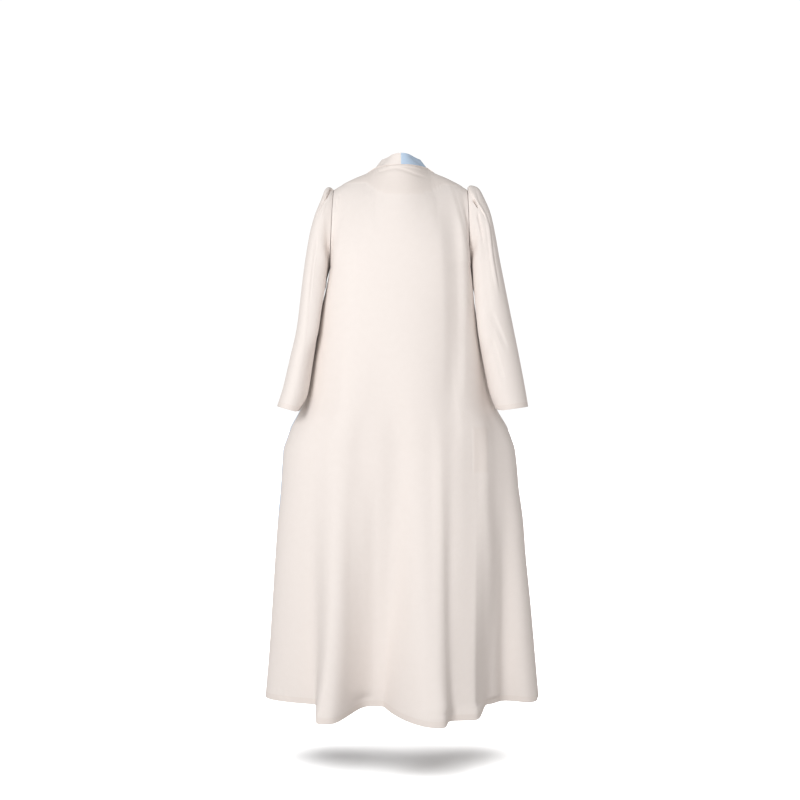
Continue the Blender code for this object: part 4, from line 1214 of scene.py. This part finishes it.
def thread_material(name, colour):
    """Spun thread in the colour of its cloth, a little deeper because it lies in its own shade."""
    material = bpy.data.materials.new(name)
    material.use_nodes = True
    shader = material.node_tree.nodes["Principled BSDF"]
    shader.inputs["Base Color"].default_value = (*colour, 1.0)
    shader.inputs["Roughness"].default_value = THREAD_ROUGHNESS
    return material


cream_thread = thread_material("cream_thread", (0.790, 0.700, 0.640))
blue_thread = thread_material("blue_thread", (0.440, 0.580, 0.760))


# %% Rows of stitches
EDGE_STITCH = 0.0050


def row_above_edge(face, normals, distance):
    """Points on a cloth's outer face at a distance from its last row, and the way the cloth faces there."""
    down = lengths_down(face)
    both = np.concatenate([face, normals], axis=-1)
    spots = np.empty((face.shape[1], 6))
    for column in range(face.shape[1]):
        place = down[-1, column] - distance
        for value in range(6):
            spots[column, value] = np.interp(place, down[:, column], both[:, column, value])
    return spots[:, :3], unit(spots[:, 3:])


def sew(name, cloth, distance, thread, ring=False):
    """One row of stitches near the edge of a cloth, made into a plain mesh."""
    piece, face, normals = cloth
    spots, facing = row_above_edge(face, normals, distance)
    count = len(spots)
    edges = [(i, i + 1) for i in range(count - 1)]
    if ring:
        edges.append((count - 1, 0))
    path = bpy.data.meshes.new(name + "_path")
    path.from_pydata(spots.tolist(), edges, [])
    way = path.attributes.new("facing", "FLOAT_VECTOR", "POINT")
    way.data.foreach_set("vector", facing.astype(np.float32).ravel())
    row = bpy.data.objects.new(name, path)
    bpy.context.scene.collection.objects.link(row)
    modifier = row.modifiers.new("stitches", "NODES")
    modifier.node_group = stitch_tree
    entries = [item for item in stitch_tree.interface.items_tree if item.in_out == "INPUT"]
    socket = {item.name: item.identifier for item in entries}
    modifier[socket["Spacing"]] = STITCH_SPACING
    modifier[socket["Stitch size"]] = (STITCH_LENGTH, STITCH_WIDTH, STITCH_HEIGHT)
    modifier[socket["Thread"]] = thread
    bpy.context.view_layer.update()
    depsgraph = bpy.context.evaluated_depsgraph_get()
    sewn = bpy.data.meshes.new_from_object(row.evaluated_get(depsgraph))
    row.modifiers.clear()
    row.data = sewn
    print(f"{name}: {len(sewn.polygons)} faces")
    return row


back_cloth = (back_panel, back_face, back_normals)
STITCHES = {
    "back_panel": sew("back_hem_stitches", back_cloth, HEM_TURN, cream_thread),
    "left_front": sew("left_hem_stitches", fronts[1], HEM_TURN, blue_thread),
    "right_front": sew("right_hem_stitches", fronts[-1], HEM_TURN, cream_thread),
    "left_sleeve": sew("left_cuff_stitches", sleeves[1], CUFF_TURN, cream_thread, ring=True),
    "right_sleeve": sew("right_cuff_stitches", sleeves[-1], CUFF_TURN, cream_thread, ring=True),
    "left_band": sew("left_band_stitches", bands[1], EDGE_STITCH, cream_thread),
    "right_band": sew("right_band_stitches", bands[-1], EDGE_STITCH, blue_thread),
}

# %% [markdown]
# ## Each piece takes the place of its solid
# Every piece rides on the one body of the frame and stands for the solid of the same part, which is hidden.
# The table gives the size of each sheet's flat cut, and each one's row of stitches rides on the same body.

# %% Finish the pieces
Cut = namedtuple("Cut", "piece node slot flat area held hangs_from")
CLOTHS = {"cream_crepe": cream_crepe, "blue_crepe": blue_crepe}
CUTS = (
    Cut(back_panel, "back", "cream_crepe", (0.95, 1.42), 0.91, "hung", ["left_band", "right_band"]),
    Cut(fronts[1][0], "front_left", "blue_crepe", (0.42, 1.40), 0.34, "hung", ["back_panel"]),
    Cut(fronts[-1][0], "front_right", "cream_crepe", (0.42, 1.40), 0.32, "hung", ["back_panel"]),
    Cut(sleeves[1][0], "sleeve_left", "cream_crepe", (0.36, 0.58), 0.14, "hung", ["back_panel"]),
    Cut(sleeves[-1][0], "sleeve_right", "cream_crepe", (0.36, 0.58), 0.14, "hung", ["back_panel"]),
    Cut(bands[1][0], "band_left", "cream_crepe", (0.045, 1.50), 0.064, "folded", ["left_front"]),
    Cut(bands[-1][0], "band_right", "blue_crepe", (0.045, 1.50), 0.064, "folded", ["right_front"]),
)
for cut in CUTS:
    stitches = STITCHES[cut.piece.name]
    cut.piece.data.materials.append(CLOTHS[cut.slot])
    for piece in (cut.piece, stitches):
        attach(piece, "root")
    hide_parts(cut.node)

# %% [markdown]
# ## Floor, light and camera
# The cloak stands over a plain pale floor, at the height at which it is worn. A broad soft box stands
# beside the camera, to its left and a little above the shoulders, and a pale room lights the cloak from
# all round. So what faces the picture's right falls into gentle shade, and the hem is a little darker
# than the shoulders. A second light from above shines on the floor alone, and keeps it pale right up to
# the soft shadow below the hem. The camera sees a nearly white floor, but the light that it throws back
# on the cloak is that of a duller one, so that the lower folds keep their gentle shade.

# %% Floor
FLOOR_Z = -1.475
FLOOR_HALF = 40.0
FLOOR_PAINT = (0.95, 0.95, 0.95, 1.0)
FLOOR_ROUGHNESS = 0.9
FLOOR_BOUNCE = (0.190, 0.180, 0.175, 1.0)
floor_mesh = bpy.data.meshes.new("floor")
floor_corners = [(x * FLOOR_HALF, y * FLOOR_HALF, FLOOR_Z) for x, y in ((-1, -1), (1, -1), (1, 1), (-1, 1))]
floor_mesh.from_pydata(floor_corners, [], [(0, 1, 2, 3)])
floor = bpy.data.objects.new("floor", floor_mesh)
bpy.context.scene.collection.objects.link(floor)
floor_paint = bpy.data.materials.new("floor_paint")
floor_paint.use_nodes = True
floor_nodes = floor_paint.node_tree.nodes
floor_shader = floor_nodes["Principled BSDF"]
floor_shader.inputs["Base Color"].default_value = FLOOR_PAINT
floor_shader.inputs["Roughness"].default_value = FLOOR_ROUGHNESS
floor_rays = floor_nodes.new("ShaderNodeLightPath")
dull = floor_nodes.new("ShaderNodeBsdfDiffuse")
dull.inputs["Color"].default_value = FLOOR_BOUNCE
by_ray = floor_nodes.new("ShaderNodeMixShader")
wire(floor_paint.node_tree, (floor_rays, "Is Camera Ray", by_ray, 0), (dull, 0, by_ray, 1),
     (floor_shader, 0, by_ray, 2), (by_ray, 0, floor_nodes["Material Output"], "Surface"))
floor_mesh.materials.append(floor_paint)

# %% Lights
KEY_PLACE = (1.25, 2.80, 0.20)
KEY_AIM = (0.0, 0.0, -0.45)
KEY_WIDTH = 1.1
KEY_POWER = 51.0
FLOOR_LIGHT_FROM = (0.0, 0.10, 1.0)
FLOOR_LIGHT_SOFTNESS = 90.0
FLOOR_LIGHT_STRENGTH = 7.0


def add_light(name, kind, strength, comes_from, shines_on):
    """A light that shines on some pieces alone."""
    lamp = bpy.data.lights.new(name, kind)
    lamp.energy = strength
    holder = bpy.data.objects.new(name, lamp)
    holder.rotation_euler = Vector(comes_from).to_track_quat("Z", "Y").to_euler()
    bpy.context.scene.collection.objects.link(holder)
    lit = bpy.data.collections.new("lit_by_" + name)
    for piece in shines_on:
        lit.objects.link(piece)
    holder.light_linking.receiver_collection = lit
    return holder


clothes = [cut.piece for cut in CUTS] + list(STITCHES.values())
key = add_light("key", "AREA", KEY_POWER, Vector(KEY_PLACE) - Vector(KEY_AIM), clothes)
key.location = KEY_PLACE
key.data.shape = "DISK"
key.data.size = KEY_WIDTH
floor_light = add_light("floor_light", "SUN", FLOOR_LIGHT_STRENGTH, FLOOR_LIGHT_FROM, [floor])
floor_light.data.angle = np.radians(FLOOR_LIGHT_SOFTNESS)

# %% The pale room
ROOM_LIGHT_LEVEL = 1.04
ROOM_LIGHT_ABOVE = 0.05
ROOM_COLOUR = (1.0, 0.975, 0.955, 1.0)
SEEN_WHITE = 1.05
world = bpy.data.worlds.new("studio")
bpy.context.scene.world = world
world.use_nodes = True
room = world.node_tree.nodes
lighting = room["Background"]
lighting.inputs["Color"].default_value = ROOM_COLOUR
direction = room.new("ShaderNodeTexCoord")
height = room.new("ShaderNodeSeparateXYZ")
fade = room.new("ShaderNodeMapRange")
fade.inputs["To Min"].default_value = ROOM_LIGHT_LEVEL
fade.inputs["To Max"].default_value = ROOM_LIGHT_ABOVE
backdrop = room.new("ShaderNodeBackground")
backdrop.inputs["Color"].default_value = (1.0, 1.0, 1.0, 1.0)
backdrop.inputs["Strength"].default_value = SEEN_WHITE
rays = room.new("ShaderNodeLightPath")
choose = room.new("ShaderNodeMixShader")
wire(world.node_tree, (direction, "Generated", height, 0), (height, "Z", fade, "Value"),
     (fade, "Result", lighting, "Strength"), (rays, "Is Camera Ray", choose, 0),
     (lighting, 0, choose, 1), (backdrop, 0, choose, 2), (choose, 0, room["World Output"], "Surface"))

# %% Camera
CAMERA_PLACE = (0.0025, 3.6, -0.58)
CAMERA_TURN = (90.0, 0.0, 180.0)
CAMERA_LENS = 64.8
SENSOR_WIDTH = 36.0
camera_data = bpy.data.cameras.new("camera")
camera_data.lens = CAMERA_LENS
camera_data.sensor_width = SENSOR_WIDTH
camera_data.dof.use_dof = False
camera = bpy.data.objects.new("camera", camera_data)
camera.location = CAMERA_PLACE
camera.rotation_euler = np.radians(CAMERA_TURN)
bpy.context.scene.collection.objects.link(camera)
bpy.context.scene.camera = camera
bpy.context.scene.view_settings.view_transform = "Standard"
